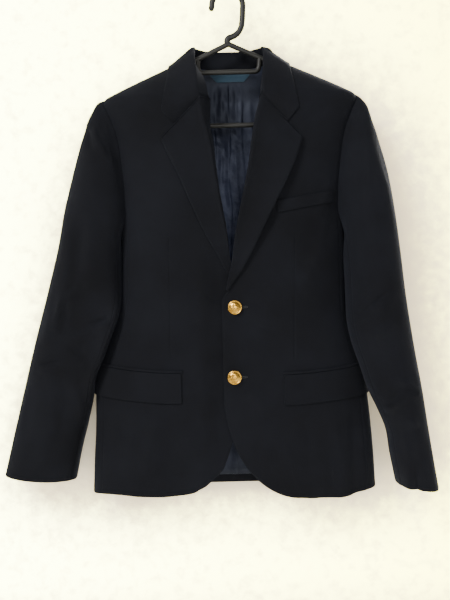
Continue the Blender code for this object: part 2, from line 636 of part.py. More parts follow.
def body_gap(points):
    """Distance of points from the body's plain surface, carried on upward past the neck."""
    x, y, z = points[..., 0], points[..., 1], points[..., 2]
    above = np.maximum(z - NECK_HEIGHT, 0.0)
    half = np.maximum(body("half_width", z) - above / SHOULDER_SLOPE, 1.0)
    depth = np.maximum(np.where(y < 0, body("front", z), body("back", z)) - above, 1.0)
    reach = (np.abs(x - body("lean", z)) / half) ** BODY_POWER + (np.abs(y) / depth) ** BODY_POWER
    return reach ** (1 / BODY_POWER) - 1.0


def push_clear(points, gap):
    """Points moved out where they lie closer to the body than the gap."""
    step = 0.05
    for _ in range(8):
        level = body_gap(points)
        slope = np.stack([(body_gap(points + step * axis) - level) / step for axis in np.eye(3)], axis=-1)
        size = np.linalg.norm(slope, axis=-1)
        points = points + (slope / size[..., None]) * np.maximum(gap - level / size, 0.0)[..., None]
    return points


def collar_section(crest, edge, foot):
    """Visible points of one collar section: leaf edge, over the crest, down to the stand's foot."""
    leaf = crest + np.array(LEAF_SHARES)[:, None] * (edge - crest)
    leaf[:-1] = push_clear(leaf[:-1], LEAF_GAP)
    return np.concatenate((leaf, crest + np.array(STAND_SHARES)[:, None] * (foot - crest)))


def gorge_section():
    """The collar's end: the same curve as the lapel's top, as far as the notch."""
    roll_z, tip_x, tip_z = LAPEL_ROWS[RIGHT][0]
    whole = lapel_section(RIGHT, roll_z, tip_x, tip_z, 0.0, 1.0, 1.0)
    roll_x = float(smooth(ROLL[RIGHT], roll_z))
    width, reach = math.hypot(tip_x - roll_x, tip_z - roll_z), math.hypot(NOTCH[0] - roll_x, NOTCH[1] - roll_z)
    share = np.array(LEAF_SHARES) * reach / width
    x, z = roll_x + share * (tip_x - roll_x), roll_z + share * (tip_z - roll_z)
    leaf = chest_point(x, z, leaf_out(share * width, 1.0))
    stand = whole[len(LEAF_SHARES):]
    return np.concatenate((leaf, stand[[0, 1, 2, 4]]))


def collar_knots():
    """Crest, leaf edge and foot of each section of the viewer's right half, gorge to back centre."""
    knots = []
    for crest_x, crest_y, crest_z, edge_x, edge_z, foot_x, foot_y, foot_z in COLLAR_FRONT_ROWS:
        knots.append(((crest_x, crest_y, crest_z), chest_point(edge_x, edge_z, LEAF_GAP), (foot_x, foot_y, foot_z)))
    for turn in NECK_TURNS:
        across, back = math.cos(math.radians(turn)), math.sin(math.radians(turn))
        x, z = NECK_HALF * across, NECK_HEIGHT - NECK_DIP * back
        foot = back_point(x, z) - np.array([2.0 * across, 2.0 * back, -3 * SEAM])
        crest = (CREST_SIDE * across ** 0.9, CREST_Y + (CREST_BACK_Y - CREST_Y) * back,
                 CREST_Z + (CREST_BACK_Z - CREST_Z) * back)
        edge_x = LEAF_SIDE * across ** 0.9
        edge_z = NECK_HEIGHT - SHOULDER_SLOPE * (LEAF_SIDE - NECK_HALF) - LEAF_BACK_DROP * back
        knots.append((crest, back_point(edge_x, edge_z, LEAF_GAP), foot))
    return np.array(knots)


def collar_sections():
    """Sections of the viewer's right half, closer together where the leaf bends over the shoulder."""
    knots = collar_knots()
    bend = len(COLLAR_FRONT_ROWS)
    number = np.concatenate((np.arange(0.0, bend - 1.5), np.linspace(bend - 1.5, bend + 1.0, 8),
                             np.arange(bend + 2.0, len(knots))))
    rows = [[smooth([(k, knot[piece][axis]) for k, knot in enumerate(knots)], number) for axis in range(3)]
            for piece in range(3)]
    crest, edge, foot = (np.stack(row, axis=-1) for row in rows)
    return np.array([gorge_section()] + [collar_section(*parts) for parts in zip(crest, edge, foot)])


def build_collar(parent):
    half = collar_sections()
    mirror = half * np.array([-1.0, 1.0, 1.0])
    grid_wall("collar", np.concatenate((half, mirror[-2::-1])), DOUBLE, "wool", parent)


# ---------------------------------------------------------------- pockets, lining, label, buttons

FLAP_COLUMNS, FLAP_CROWD, FLAP_CURVE = 16, 0.75, 1.3  # columns, closer toward the side, and the top's curve
FLAP_NEAR, FLAP_FALL = 0.7, 0.8  # gap behind a flap or a jet, and how much further out the flap's lower edge is


def flap_rows(side):
    """Run of the flap's front end and of its end past the side line, and its top line between them."""
    front_x, front_z, side_z = FLAP_TOP[side]
    start = float(run_at_x(side, np.array(front_x), np.array(front_z)))
    end = float(side_run(np.array(side_z))) + FLAP_OVERRUN
    share = np.linspace(0.0, 1.0, FLAP_COLUMNS) ** FLAP_CROWD
    return start + share * (end - start), front_z + (side_z - front_z) * share ** FLAP_CURVE


def build_flap(side, parent):
    run, top = flap_rows(side)
    down = np.array([0.0, 0.34, 0.67, 1.0])[:, None]
    z = top[None, :] - FLAP_DROP * down
    lift = FLAP_NEAR + WOOL + FLAP_FALL * down * np.ones_like(z)
    add_wall(f"flap_{SIDE_NAMES[side]}", place(side, run[None, :], z, lift),
             place(side, run[None, :], z, lift - WOOL), "wool", parent)


def build_jet(side, parent):
    run, top = flap_rows(side)
    run = np.concatenate(([run[0] - JET_OVERRUN], run[1:]))
    z = top[None, :] + REST + JET_HEIGHT * np.array([1.0, 0.0])[:, None]
    add_wall(f"jet_{SIDE_NAMES[side]}", place(side, run[None, :], z, FLAP_NEAR + JET_THICKNESS),
             place(side, run[None, :], z, FLAP_NEAR), "wool", parent)


def build_welt(parent):
    (x0, foot0, top0), (x1, foot1, top1) = WELT_ENDS
    share = np.linspace(0.0, 1.0, 7)
    x = x0 + (x1 - x0) * share
    foot, top = foot0 + (foot1 - foot0) * share, top0 + (top1 - top0) * share
    z = np.stack((top, (top + foot) / 2, foot))
    x = np.repeat(x[None, :], 3, axis=0)
    add_wall("welt", chest_point(x, z, WELT_NEAR + WOOL), chest_point(x, z, WELT_NEAR), "wool", parent)


# Folds of the back lining: x at the neck and at the hem, width and rise.
LINING_FOLDS = ((1.0, -1.0, 7.0, 4.0), (-24.0, -34.0, 9.0, 2.6), (23.0, 34.0, 9.0, 2.6), (-62.0, -90.0, 12.0, 2.0),
                (60.0, 88.0, 12.0, 2.0))
# Half width of the lining at its top, how it spreads below a height, and its greatest share of the back's.
LINING_TOP, LINING_TURN, LINING_SPREAD, LINING_SHARE = 40.0, -73.6, 1.1, 0.74


def lining_rise(x, z):
    rise = np.zeros_like(x)
    share = (z - NECK_HEIGHT) / (LINING_HEM - NECK_HEIGHT)
    for neck_x, hem_x, width, height in LINING_FOLDS:
        rise += height * np.exp(-((x - neck_x - (hem_x - neck_x) * share) / width) ** 2) * fade(share, 0.05, 0.16)
    return rise


def build_lining(parent):
    height = np.concatenate((np.array([-110.6, -122.0, -140.0]), np.linspace(-175.0, LINING_HEM, 12)))
    spreading = LINING_TOP + LINING_SPREAD * (LINING_TURN - height).clip(0)
    half = np.minimum(body("half_width", height) * LINING_SHARE, spreading)
    cols = 21
    share = np.linspace(-1.0, 1.0, cols)[None, :]
    x = body("lean", height)[:, None] + half[:, None] * share
    z = np.repeat(height[:, None], cols, axis=1)
    rise = lining_rise(x, z)
    near = back_point(x, z, -WOOL - LINING_EASE - rise)
    far = back_point(x, z, -WOOL - LINING_EASE - rise - SATIN)
    add_wall("back_lining", far, near, "satin", parent)


def build_label(parent):
    z = np.array([LABEL["top"], (LABEL["top"] + LABEL["bottom"]) / 2, LABEL["bottom"]])
    cut = np.array([0.0, 0.0, LABEL["cut"]])
    left, right = LABEL["left"] + cut, LABEL["right"] - cut
    x = spread(left, right, 9)
    z = np.repeat(z[:, None], 9, axis=1)
    out = -WOOL - LINING_EASE - SATIN - LABEL_GAP
    add_wall("label", back_point(x, z, out - LABEL["thickness"]), back_point(x, z, out), "label_cloth", parent)


# A button's turned profile: radius and height over the cloth.
BUTTON_PROFILE = ((0.0, 0.3), (7.6, 0.3), (9.4, 1.4), (BUTTON_RADIUS, 2.6), (9.7, 3.6), (8.3, 3.9), (5.2, 5.3),
                  (0.0, 6.2))


def build_button(name, parent):
    x, z = BUTTONS[name]
    centre = chest_point(x, z, 0.4)
    count = 24
    rings = BUTTON_PROFILE[1:-1]
    points = [centre - np.array([0.0, BUTTON_PROFILE[0][1], 0.0])]
    for radius, height in rings:
        for k in range(count):
            turn = 2 * math.pi * k / count
            points.append(centre + np.array([radius * math.cos(turn), -height, radius * math.sin(turn)]))
    points.append(centre - np.array([0.0, BUTTON_PROFILE[-1][1], 0.0]))
    faces = [(0, 1 + (k + 1) % count, 1 + k) for k in range(count)]
    for ring in range(len(rings) - 1):
        low, high = 1 + ring * count, 1 + (ring + 1) * count
        faces += [(low + k, low + (k + 1) % count, high + (k + 1) % count, high + k) for k in range(count)]
    last, tip = 1 + (len(rings) - 1) * count, len(points) - 1
    faces += [(last + k, last + (k + 1) % count, tip) for k in range(count)]
    add_mesh(name, points, faces, "gold", parent)


# ---------------------------------------------------------------- hanger

def rounded(corners, steps=5):
    """Points of a path through (x, z, radius) corners, each rounded by an arc."""
    points = [np.array(corners[0][:2], float)]
    for before, (x, z, radius), after in zip(corners, corners[1:], corners[2:]):
        corner = np.array([x, z], float)
        to_before = np.array(before[:2]) - corner
        to_after = np.array(after[:2]) - corner
        to_before, to_after = to_before / np.hypot(*to_before), to_after / np.hypot(*to_after)
        half = math.acos(np.clip(to_before @ to_after, -1, 1)) / 2
        reach = radius / math.tan(half)
        centre = corner + unit(to_before + to_after) * radius / math.sin(half)
        start, end = corner + to_before * reach - centre, corner + to_after * reach - centre
        sweep = math.pi - 2 * half
        for k in range(steps + 1):
            t = k / steps
            points.append(centre + (start * math.sin((1 - t) * sweep) + end * math.sin(t * sweep)) / math.sin(sweep))
    points.append(np.array(corners[-1][:2], float))
    return points


def add_tube(name, points, parent, closed=False):
    """A round moulded bar through (x, z) points in the hanger's plane."""
    curve = bpy.data.curves.new(name, "CURVE")
    curve.dimensions = "3D"
    curve.bevel_depth = TUBE_RADIUS * MM
    curve.bevel_resolution = 2
    curve.use_fill_caps = not closed
    line = curve.splines.new("POLY")
    line.points.add(len(points) - 1)
    for slot, (x, z) in zip(line.points, points):
        slot.co = (x * MM, 0.0, z * MM, 1.0)
    line.use_cyclic_u = closed
    line.use_smooth = True
    return add_object(name, curve, "plastic", parent)


def arm_height(x):
    """Height of the arm's centre line under the shoulder seam."""
    return NECK_HEIGHT - SHOULDER_SLOPE * (abs(x) - NECK_HALF) - HANGER_FALL


LOOP_TOP, LOOP_CORNER_X, LOOP_BAR, BAR_HEIGHT = -76.5, 57.0, -118.6, -198.5
ARM_END, BAR_END = 173.0, 168.0
HANGER_JOIN = 1.8  # the frame's arms start this far outside the loop's corners


def build_hanger(parent):
    middle = TUBE_RADIUS - HOOK_RADIUS
    hook = [(-HOOK_RADIUS - 0.5, middle - 8.0)]
    for k in range(17):
        turn = math.pi * (1 - k / 16)
        hook.append((HOOK_RADIUS * math.cos(turn), middle + HOOK_RADIUS * math.sin(turn)))
    hook += rounded(((HOOK_RADIUS, middle - 4.0, 0), (HOOK_RADIUS - 0.5, -49.0, 13.0), (2.0, -64.0, 8.0),
                     (-0.5, LOOP_TOP + TUBE_RADIUS + REST, 0)))
    add_tube("hanger_hook", hook, parent)

    corner = (LOOP_CORNER_X, -104.0, 9.0)
    loop = rounded(((0.0, LOOP_BAR, 0), (-LOOP_CORNER_X + 10.0, LOOP_BAR, 6.0), (-corner[0], corner[1], 6.0),
                    (0.0, LOOP_TOP, 7.0), (corner[0], corner[1], 6.0), (LOOP_CORNER_X - 10.0, LOOP_BAR, 6.0),
                    (0.0, LOOP_BAR, 0)), steps=4)
    add_tube("hanger_loop", loop[:-1], parent, closed=True)

    start = LOOP_CORNER_X + HANGER_JOIN
    frame = [(-start, arm_height(start))]
    frame += rounded(((-start - 4.0, arm_height(start + 4.0), 0), (-ARM_END - 10.0, arm_height(ARM_END + 10.0), 12.0),
                      (-BAR_END, BAR_HEIGHT, 10.0), (BAR_END, BAR_HEIGHT, 10.0),
                      (ARM_END + 10.0, arm_height(ARM_END + 10.0), 12.0), (start + 4.0, arm_height(start + 4.0), 0)))
    frame.append((start, arm_height(start)))
    add_tube("hanger_frame", frame, parent)


# ---------------------------------------------------------------- the whole

SIDE_NAMES = {LEFT: "left", RIGHT: "right"}


def main():
    for thing in list(bpy.data.objects):
        bpy.data.objects.remove(thing, do_unlink=True)
    parent = bpy.data.objects.new("blazer", None)
    bpy.context.scene.collection.objects.link(parent)
    for side in (LEFT, RIGHT):
        build_front(side, parent)
        build_side(side, parent)
        build_back(side, parent)
        build_sleeves(side, parent)
        build_lapel(side, parent)
        build_flap(side, parent)
        build_jet(side, parent)
    build_collar(parent)
    build_welt(parent)
    build_lining(parent)
    build_label(parent)
    for name in BUTTONS:
        build_button(name, parent)
    build_hanger(parent)


main()
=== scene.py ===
"""The looks of a school blazer that hangs on a slim moulded hanger.

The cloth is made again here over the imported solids, on the same surfaces at a finer pitch, with its seams,
darts, creases, stitches and finishes. Sizes are in millimetres and become metres as each mesh is made. +Z is
up, +X is the viewer's right and -Y faces the viewer. The origin is the inside of the hook's crook.
"""

import math

import bmesh
import bpy
import numpy as np
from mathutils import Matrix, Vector


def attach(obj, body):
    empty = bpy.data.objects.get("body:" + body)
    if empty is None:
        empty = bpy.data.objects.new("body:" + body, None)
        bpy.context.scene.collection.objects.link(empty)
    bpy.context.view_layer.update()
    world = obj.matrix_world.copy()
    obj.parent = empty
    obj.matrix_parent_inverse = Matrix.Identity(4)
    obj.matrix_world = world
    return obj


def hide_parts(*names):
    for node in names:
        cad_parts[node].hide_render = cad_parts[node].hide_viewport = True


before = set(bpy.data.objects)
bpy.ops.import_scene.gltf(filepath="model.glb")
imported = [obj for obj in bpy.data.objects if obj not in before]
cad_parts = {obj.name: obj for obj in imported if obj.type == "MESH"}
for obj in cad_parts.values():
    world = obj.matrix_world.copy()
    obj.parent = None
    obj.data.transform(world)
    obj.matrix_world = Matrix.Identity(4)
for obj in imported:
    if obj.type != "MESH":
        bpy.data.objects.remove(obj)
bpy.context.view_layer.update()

MM = 0.001
LEFT, RIGHT = -1, 1  # the viewer's left and right
SIDE_NAMES = {LEFT: "left", RIGHT: "right"}
BODY = "root"

SEAM = 0.03  # half the gap between two pieces at a seam
BACK_SEAM = 0.002  # the same at the centre of the back
WOOL = 2.0  # thickness of a body or sleeve wall
DOUBLE = 2.4  # thickness of the collar
SATIN = 1.0  # thickness of the lining
LINING_EASE = 1.4  # the lining hangs this far inside the back
INNER_ROUND = 0.6  # share of an edge's rounding that the inside of the cloth takes

# ---------------------------------------------------------------- the shape's driving sizes, as in the part

BODY_POWER = 2.6
BODY_COLUMNS = ("height", "half_width", "front", "back", "lean")
BODY_ROWS = (
    (-98.6, 62.0, 12.0, 24.0, 0.0),
    (-104.0, 73.7, 17.0, 27.0, 0.0),
    (-112.0, 91.0, 23.0, 30.5, 0.0),
    (-125.0, 119.4, 31.0, 34.0, 0.0),
    (-140.0, 152.0, 38.0, 36.5, 0.0),
    (-150.0, 173.0, 41.0, 37.5, 0.0),
    (-157.0, 186.0, 43.0, 38.0, 0.0),
    (-165.0, 191.0, 44.0, 38.0, 0.0),
    (-180.0, 189.0, 45.5, 38.5, 0.0),
    (-210.0, 181.0, 48.0, 39.0, -0.5),
    (-260.0, 174.0, 50.0, 39.0, -1.5),
    (-320.0, 166.0, 50.0, 37.0, -2.0),
    (-380.0, 161.0, 48.0, 34.0, -1.5),
    (-430.0, 164.0, 45.0, 31.0, -1.5),
    (-470.0, 169.0, 43.0, 29.0, -2.5),
    (-505.0, 176.0, 42.0, 29.5, -4.0),
    (-530.0, 185.0, 41.0, 30.5, -5.0),
    (-555.0, 194.0, 40.5, 31.5, -6.0),
    (-600.0, 200.5, 40.0, 33.0, -7.0),
    (-670.0, 207.0, 39.0, 36.0, -7.5),
    (-746.0, 211.0, 38.5, 38.5, -8.0),
)
NECK_HALF, NECK_HEIGHT, NECK_DIP = 62.0, -98.6, 9.4
SHOULDER_SLOPE = 0.46

# How far each side of the body swells out against the sleeve beside it, by height.
SIDE_SWELL = {
    LEFT: ((-330, 0), (-365, 4.0), (-411, 3.6), (-445, 2.6), (-475, 3.2), (-500, 5.5), (-515, 6.2),
           (-545, 5.0), (-575, 5.4), (-597, 4.4), (-625, 1.5), (-655, 0)),
    RIGHT: ((-330, 0), (-365, 5.5), (-387, 6.3), (-411, 5.5), (-440, 3.5), (-465, 1.5), (-490, 0)),
}

# Soft folds of the body, by face: x and height where each starts and where it ends, its width and its rise.
BODY_FOLDS = {
    "front": (
        (-112, -625, -145, -715, 13, 3.0), (-62, -640, -88, -725, 15, 2.2),
        (-15, -482, -120, -428, 15, 2.0), (24, -480, 118, -424, 15, 2.0), (150, -352, 96, -455, 14, 2.4),
        (170, -600, 168, -744, 9, -3.4), (118, -660, 122, -746, 12, 3.0), (60, -640, 78, -735, 15, 2.0),
    ),
    "back": (
        (-100, -200, -70, -330, 20, 2.5), (104, -205, 72, -335, 20, 2.5), (-60, -440, -128, -500, 15, 2.2),
        (56, -445, 126, -508, 15, 2.2), (-96, -560, -110, -735, 20, 3.0), (88, -570, 104, -735, 20, 3.0),
    ),
}
# Finer creases that only the scene has, in the same columns.
BODY_CREASES = {
    "front": (
        (-22, -470, -62, -448, 5, 0.7), (-24, -486, -78, -500, 6, -0.6), (14, -462, 52, -438, 5, 0.7),
        (16, -486, 60, -512, 6, -0.6), (-20, -582, -66, -612, 7, 0.8), (12, -590, 48, -626, 7, 0.8),
        (-140, -300, -118, -352, 8, 1.1), (-150, -330, -134, -396, 6, -0.8), (148, -286, 122, -344, 8, 1.2),
        (152, -322, 132, -392, 6, -0.9), (-150, -180, -104, -206, 10, -0.9),
        (150, -180, 106, -204, 10, -0.9), (-128, -628, -162, -664, 7, 0.9),
        (-96, -664, -116, -716, 8, -0.9), (96, -640, 106, -700, 8, -0.9), (36, -664, 52, -716, 9, 0.8),
        (140, -622, 146, -700, 8, 1.0), (-170, -620, -176, -720, 9, -1.2),
    ),
    "back": (
        (-148, -196, -96, -224, 10, 1.0), (148, -196, 98, -222, 10, 1.0), (-34, -150, 30, -158, 9, 0.8),
        (-130, -330, -84, -392, 8, 1.2), (132, -322, 80, -388, 8, 1.2), (-96, -420, -46, -452, 7, 0.9),
        (92, -428, 44, -456, 7, 0.9), (-52, -540, -64, -700, 12, 1.2), (44, -560, 50, -716, 12, 1.2),
        (140, -600, 150, -720, 9, -1.4), (-150, -590, -156, -716, 9, -1.2),
    ),
}
CREASE_LIFT = 1.4  # the finer creases rise this much more than their rows say

ARM_MIDDLE, ARM_HALF, ARM_POWER = -261.0, 104.0, 0.8
ARM_BITE = {"front": 31.0, "back": 34.0}
ARM_TUCK = 3.0
SIDE_SEAM = {"front": 26.0, "back": 28.0}

ROLL = {
    LEFT: ((-100, -50.0), (-137, -47.0), (-172.5, -43.0), (-210, -36.4), (-230, -31.2), (-259, -27.0),
           (-320, -18.3), (-371, -9.8), (-403, -6.0), (-440, 4.0)),
    RIGHT: ((-100, 52.0), (-137, 48.0), (-168, 45.4), (-182, 41.5), (-195, 37.8), (-210, 34.8), (-267, 25.5),
            (-328, 12.0), (-376, 2.0), (-400, -1.5), (-437, -11.0), (-456, -15.5)),
}
LAPEL_COLUMNS = ("roll_z", "edge_x", "edge_z")
LAPEL_ROWS = {
    LEFT: ((-166, -101.4, -223.9), (-196, -91.5, -247), (-232, -76, -281), (-267, -64, -310),
           (-303, -51, -341), (-335, -39, -367), (-366, -27, -389), (-392, -18, -407), (-414, -9, -424),
           (-436, -1, -443)),
    RIGHT: ((-165, 102, -226.5), (-197, 94.5, -249), (-236, 83, -276), (-276, 71, -300), (-316, 57, -327),
            (-352, 43, -355), (-386, 29, -383), (-418, 12, -414), (-445, -10, -447)),
}
EDGE_SLACK, NECK_SLACK, FOOT_SLACK = 5.0, 4.0, -2.2
FRONT_HEM, SIDE_HEM = {LEFT: -745.0, RIGHT: -751.0}, {LEFT: -742.5, RIGHT: -746.0}
BACK_HEM, LINING_HEM = -741.0, -728.0
# Height of the finished hem along each front, by x.
HEM_LINE = {
    LEFT: ((-214, -741.5), (-200, -741.2), (-180, -741.7), (-165, -742.8), (-150, -744.3), (-130, -744.9),
           (-60, -745)),
    RIGHT: ((60, -751), (90, -751.2), (104, -752.2), (122, -751.4), (136, -752.7), (148, -753.4),
            (160, -751.8), (172, -748.2), (185, -746), (197, -743.8), (214, -742.5)),
}
# The left front's inner edge below its lower button, by height.
LEFT_CORNER = ((-575, 16), (-600, 13.4), (-630, 6.0), (-666, -8.5), (-692, -17.5), (-711, -27), (-723, -40.5),
               (-734.5, -57.5), (-742.5, -84), (-745, -112))
FRONT_EDGE = (-20.0, -600.0, 110.0)  # the right front's straight edge, where its corner starts, and its width
LAPEL_FOOT = -446.0
UNDERLAP_START, UNDERLAP_END = -437.0, -465.0
UNDERLAP_SINK = 5.2

NOTCH = (82.5, -204.0)
# Sections of the collar from the gorge up: x, y and height of the crest, x and height of the leaf's edge, and
# x, y and height of the stand's foot.
COLLAR_FRONT_ROWS = (
    (46.4, -47.5, -157.0, 100.0, -182.3, 44.0, -35.0, -159.0),
    (47.6, -43.0, -140.0, 97.0, -164.5, 46.0, -30.0, -142.0),
    (48.8, -34.5, -121.0, 93.6, -146.0, 50.0, -20.0, -123.0),
    (50.0, -22.0, -100.5, 90.8, -129.0, 55.0, -11.0, -110.0),
    (50.4, -12.0, -89.0, 89.8, -119.5, 58.5, -5.0, -103.0),
)
# How far the stand's foot lies nearer to the middle on the viewer's left, by section from the gorge.
LEFT_STAND = ((0, 12.0), (1, 11.5), (2, 8.0), (3, 3.0), (4, 0.5), (5, 0.0), (8, 0.0), (11, 0.0))
CREST_SIDE, CREST_Z = {LEFT: 50.8, RIGHT: 49.8}, {LEFT: -80.5, RIGHT: -82.5}
CREST_Y, CREST_BACK_Y, CREST_BACK_Z = -3.0, 30.5, -79.0
LEAF_SIDE, LEAF_BACK_DROP = 89.0, 11.0
LEAF_GAP = 2.6
NECK_TURNS = (0, 15, 30, 45, 60, 75, 90)

OUTER_EDGE = {
    LEFT: ((-157, -189), (-159, -195), (-162, -199.5), (-167, -202.6), (-173, -205.6), (-185, -211.5),
           (-209, -219.5), (-256, -234), (-304, -247), (-376, -263), (-447, -282), (-519, -302), (-590, -320),
           (-662, -338), (-713, -350.5)),
    RIGHT: ((-157, 189), (-160, 193), (-166, 198.5), (-172, 202.6), (-184, 206.6), (-196, 209.2),
            (-220, 216), (-271, 228), (-319, 235), (-391, 242), (-461, 247), (-531, 255), (-601, 266),
            (-672, 276), (-741, 288)),
}
UNDER_EDGE = {
    LEFT: ((-365, -165), (-372, -166), (-400, -167), (-430, -167.8), (-456, -168.5), (-478, -172),
           (-515, -185.5), (-540, -195), (-568, -207), (-598, -213), (-640, -225), (-680, -235.5),
           (-721, -243.8)),
    RIGHT: ((-365, 160), (-372, 160.5), (-404, 161.5), (-430, 162), (-465, 161.5), (-495, 161.5), (-527, 167),
            (-558, 177), (-595, 189), (-622, 201.5), (-650, 213), (-689, 219.5), (-733, 228)),
}
SLEEVE_COLUMNS = ("top_z", "under_z", "middle_y", "front", "back")
SLEEVE_ROWS = {
    LEFT: ((-157, -365, 0, 28, 27), (-166, -370, -1, 35, 31), (-184, -377, -2, 40, 35),
           (-216, -387, -2, 43, 37), (-262, -400, 0, 44, 38), (-322, -420, 2, 43, 37),
           (-388, -448, 4, 41, 36), (-452, -486, 5, 38, 34), (-518, -535, 5, 36, 32),
           (-586, -594, 4, 34, 30), (-652, -658, 2, 31, 28), (-713, -721, 0, 28, 25)),
    RIGHT: ((-157, -365, 0, 28, 27), (-166, -370, -3, 36, 31), (-184, -377, -5, 43, 34),
            (-216, -387, -9, 47, 36), (-262, -400, -14, 48, 37), (-322, -420, -20, 48, 38),
            (-388, -448, -27, 46, 39), (-452, -486, -35, 44, 38), (-518, -533, -42, 42, 36),
            (-586, -590, -42, 43, 36), (-652, -650, -38, 44, 37), (-741, -733, -31, 42, 38)),
}
SLEEVE_POWER = 2.25
# How far the inner edge of the sleeve on the viewer's left lies forward, over the body's side, by height.
INNER_FORWARD = {
    LEFT: ((-400, 0), (-440, 12), (-478, 28), (-520, 32), (-570, 30), (-605, 15), (-640, 0)),
    RIGHT: ((-400, 0), (-640, 0)),
}
SLEEVE_SEAMS = (150.0, 235.0)
CUFF_BOW, CUFF_START = {LEFT: 3.3, RIGHT: 0.0}, 0.8  # how far the cuff bows down, and where that starts
# Folds of the sleeves, in the same columns.
SLEEVE_FOLDS = {
    LEFT: {
        "front": (
            (-200, -205, -195, -223, 4, 1.6), (-195, -223, -182, -244, 4, 1.8),
            (-183, -243, -168, -258, 4, 1.5), (-213, -196, -203, -240, 6, -1.5),
            (-190, -188, -186, -214, 5, -1.0), (-224, -345, -240, -450, 9, -2.4),
            (-204, -330, -214, -440, 12, 1.6), (-243, -300, -252, -400, 10, 1.4),
            (-246, -452, -258, -504, 4, -3.0), (-252, -440, -266, -500, 5, 2.2),
            (-238, -440, -250, -492, 5, 2.0), (-224, -432, -246, -456, 4, 1.4),
            (-212, -490, -186, -481, 3, -1.8), (-208, -498, -184, -490, 5, 1.6),
            (-250, -512, -206, -503, 6, 1.4), (-240, -520, -212, -552, 6, -1.6),
            (-268, -470, -285, -520, 8, 1.2), (-288, -549, -260, -543, 3, -1.7),
            (-292, -558, -262, -552, 5, 1.3), (-240, -560, -228, -640, 9, 1.3),
            (-256, -570, -262, -660, 8, -1.3), (-300, -580, -318, -664, 9, -1.0),
            (-278, -640, -292, -712, 11, 1.2),
        ),
        "back": (
            (-200, -200, -186, -300, 10, 1.6), (-250, -430, -206, -478, 8, 2.4),
            (-268, -470, -214, -498, 7, 1.8), (-244, -450, -222, -494, 4, -1.8),
            (-262, -530, -300, -640, 12, 1.4),
        ),
    },
    RIGHT: {
        "front": (
            (199, -190, 193, -372, 8, 1.8), (206, -232, 228, -372, 9, 1.6), (214, -220, 222, -300, 8, -1.2),
            (195, -336, 214, -346, 5, 1.0), (192, -471, 209, -457, 3, -1.4), (188, -480, 212, -462, 5, 1.8),
            (171, -486, 192, -473, 4, -1.4), (226, -452, 196, -494, 7, 1.2), (222, -500, 188, -520, 7, 1.3),
            (180, -430, 190, -468, 8, 1.0), (222, -572, 254, -602, 6, 1.8), (228, -584, 251, -599, 3, -2.6),
            (206, -622, 234, -601, 5, 2.0), (212, -604, 232, -590, 4, -1.4), (236, -629, 251, -645, 4, 1.8),
            (230, -640, 240, -664, 6, -1.0), (248, -560, 257, -610, 8, 1.0),
            (243, -676, 250, -744, 4, -2.0), (237, -676, 243, -744, 6, 1.4), (264, -640, 272, -735, 9, 1.2),
        ),
        "back": (
            (202, -200, 196, -300, 10, 1.6), (240, -440, 196, -486, 8, 2.4), (246, -480, 200, -520, 7, 1.8),
            (222, -466, 200, -504, 4, -1.8), (226, -560, 262, -660, 12, 1.4),
        ),
    },
}

DARTS = {LEFT: ((-359.0, -93.6), (-550.0, -96.3)), RIGHT: ((-361.7, 88.7), (-554.4, 83.6))}
FLAP_TOP = {LEFT: (-81.0, -565.5, -550.0), RIGHT: (68.0, -571.5, -558.0)}
FLAP_DROP, FLAP_OVERRUN, FLAP_CORNER = 43.5, 4.0, 2.8
FLAP_WALL = 1.5
JET_HEIGHT, JET_OVERRUN = 4.8, 2.0
WELT_ENDS = ((63.5, -336.0, -318.8), (146.0, -321.3, -303.8))
BUTTONS = {"button_top": (-1.0, -471.0), "button_bottom": (-4.0, -572.5)}
LABEL = {"left": -28.5, "right": 31.5, "top": -111.0, "bottom": -124.6, "cut": 9.2, "thickness": 0.8}

TUBE_RADIUS, HOOK_BAR = 3.75, 4.3
HOOK_RADIUS = 23.2
HANGER_FALL = 6.7  # the arms' centre lines lie this far under the shoulder seams
LOOP_TOP, LOOP_CORNER_X, LOOP_BAR, BAR_HEIGHT = -76.5, 46.8, -118.6, -198.5
ARM_END, BAR_END = 173.0, 168.0


# ---------------------------------------------------------------- curves

def smooth(rows, at):
    """Value of a table of (place, value) rows at the given places, on a curve through its rows."""
    rows = sorted(rows)
    x = np.array([row[0] for row in rows], float)
    y = np.array([row[1] for row in rows], float)
    slope = np.gradient(y, x)
    at = np.clip(np.asarray(at, float), x[0], x[-1])
    k = np.clip(np.searchsorted(x, at, side="right") - 1, 0, len(x) - 2)
    step = x[k + 1] - x[k]
    t = (at - x[k]) / step
    keep = (1 + 2 * t) * (1 - t) ** 2 * y[k] + t * t * (3 - 2 * t) * y[k + 1]
    turn = t * (1 - t) ** 2 * step * slope[k] - t * t * (1 - t) * step * slope[k + 1]
    return keep + turn


def column(rows, names, name, key=0):
    k = names.index(name)
    return [(row[0] if key == 0 else i, row[k]) for i, row in enumerate(rows)]


def fade(value, start, end):
    """0 before start, 1 after end, smooth between."""
    t = np.clip((np.asarray(value, float) - start) / (end - start), 0.0, 1.0)
    return t * t * (3 - 2 * t)


def matched(*values):
    """The values as arrays of one shape."""
    return np.broadcast_arrays(*(np.asarray(value, float) for value in values))


def signed_power(value, power):
    return np.sign(value) * np.abs(value) ** power


def unit(vectors):
    return vectors / np.maximum(np.linalg.norm(vectors, axis=-1, keepdims=True), 1e-9)


def lengths_along(points):
    """Length along a chain of points, from its first."""
    return np.concatenate(([0.0], np.cumsum(np.linalg.norm(np.diff(points, axis=0), axis=-1))))


def curve_through(points, places, at):
    """Points on a curve through the given points, which lie at the given places along it."""
    return np.stack([smooth(list(zip(places, values)), at) for values in np.transpose(points)], axis=-1)


def crowded(start, end, count):
    """Places from start to end, closest together at both ends, where seams and rolled edges lie."""
    share = (1 - np.cos(np.linspace(0.0, math.pi, count))) / 2
    return start + (end - start) * share


# ---------------------------------------------------------------- the body's surface

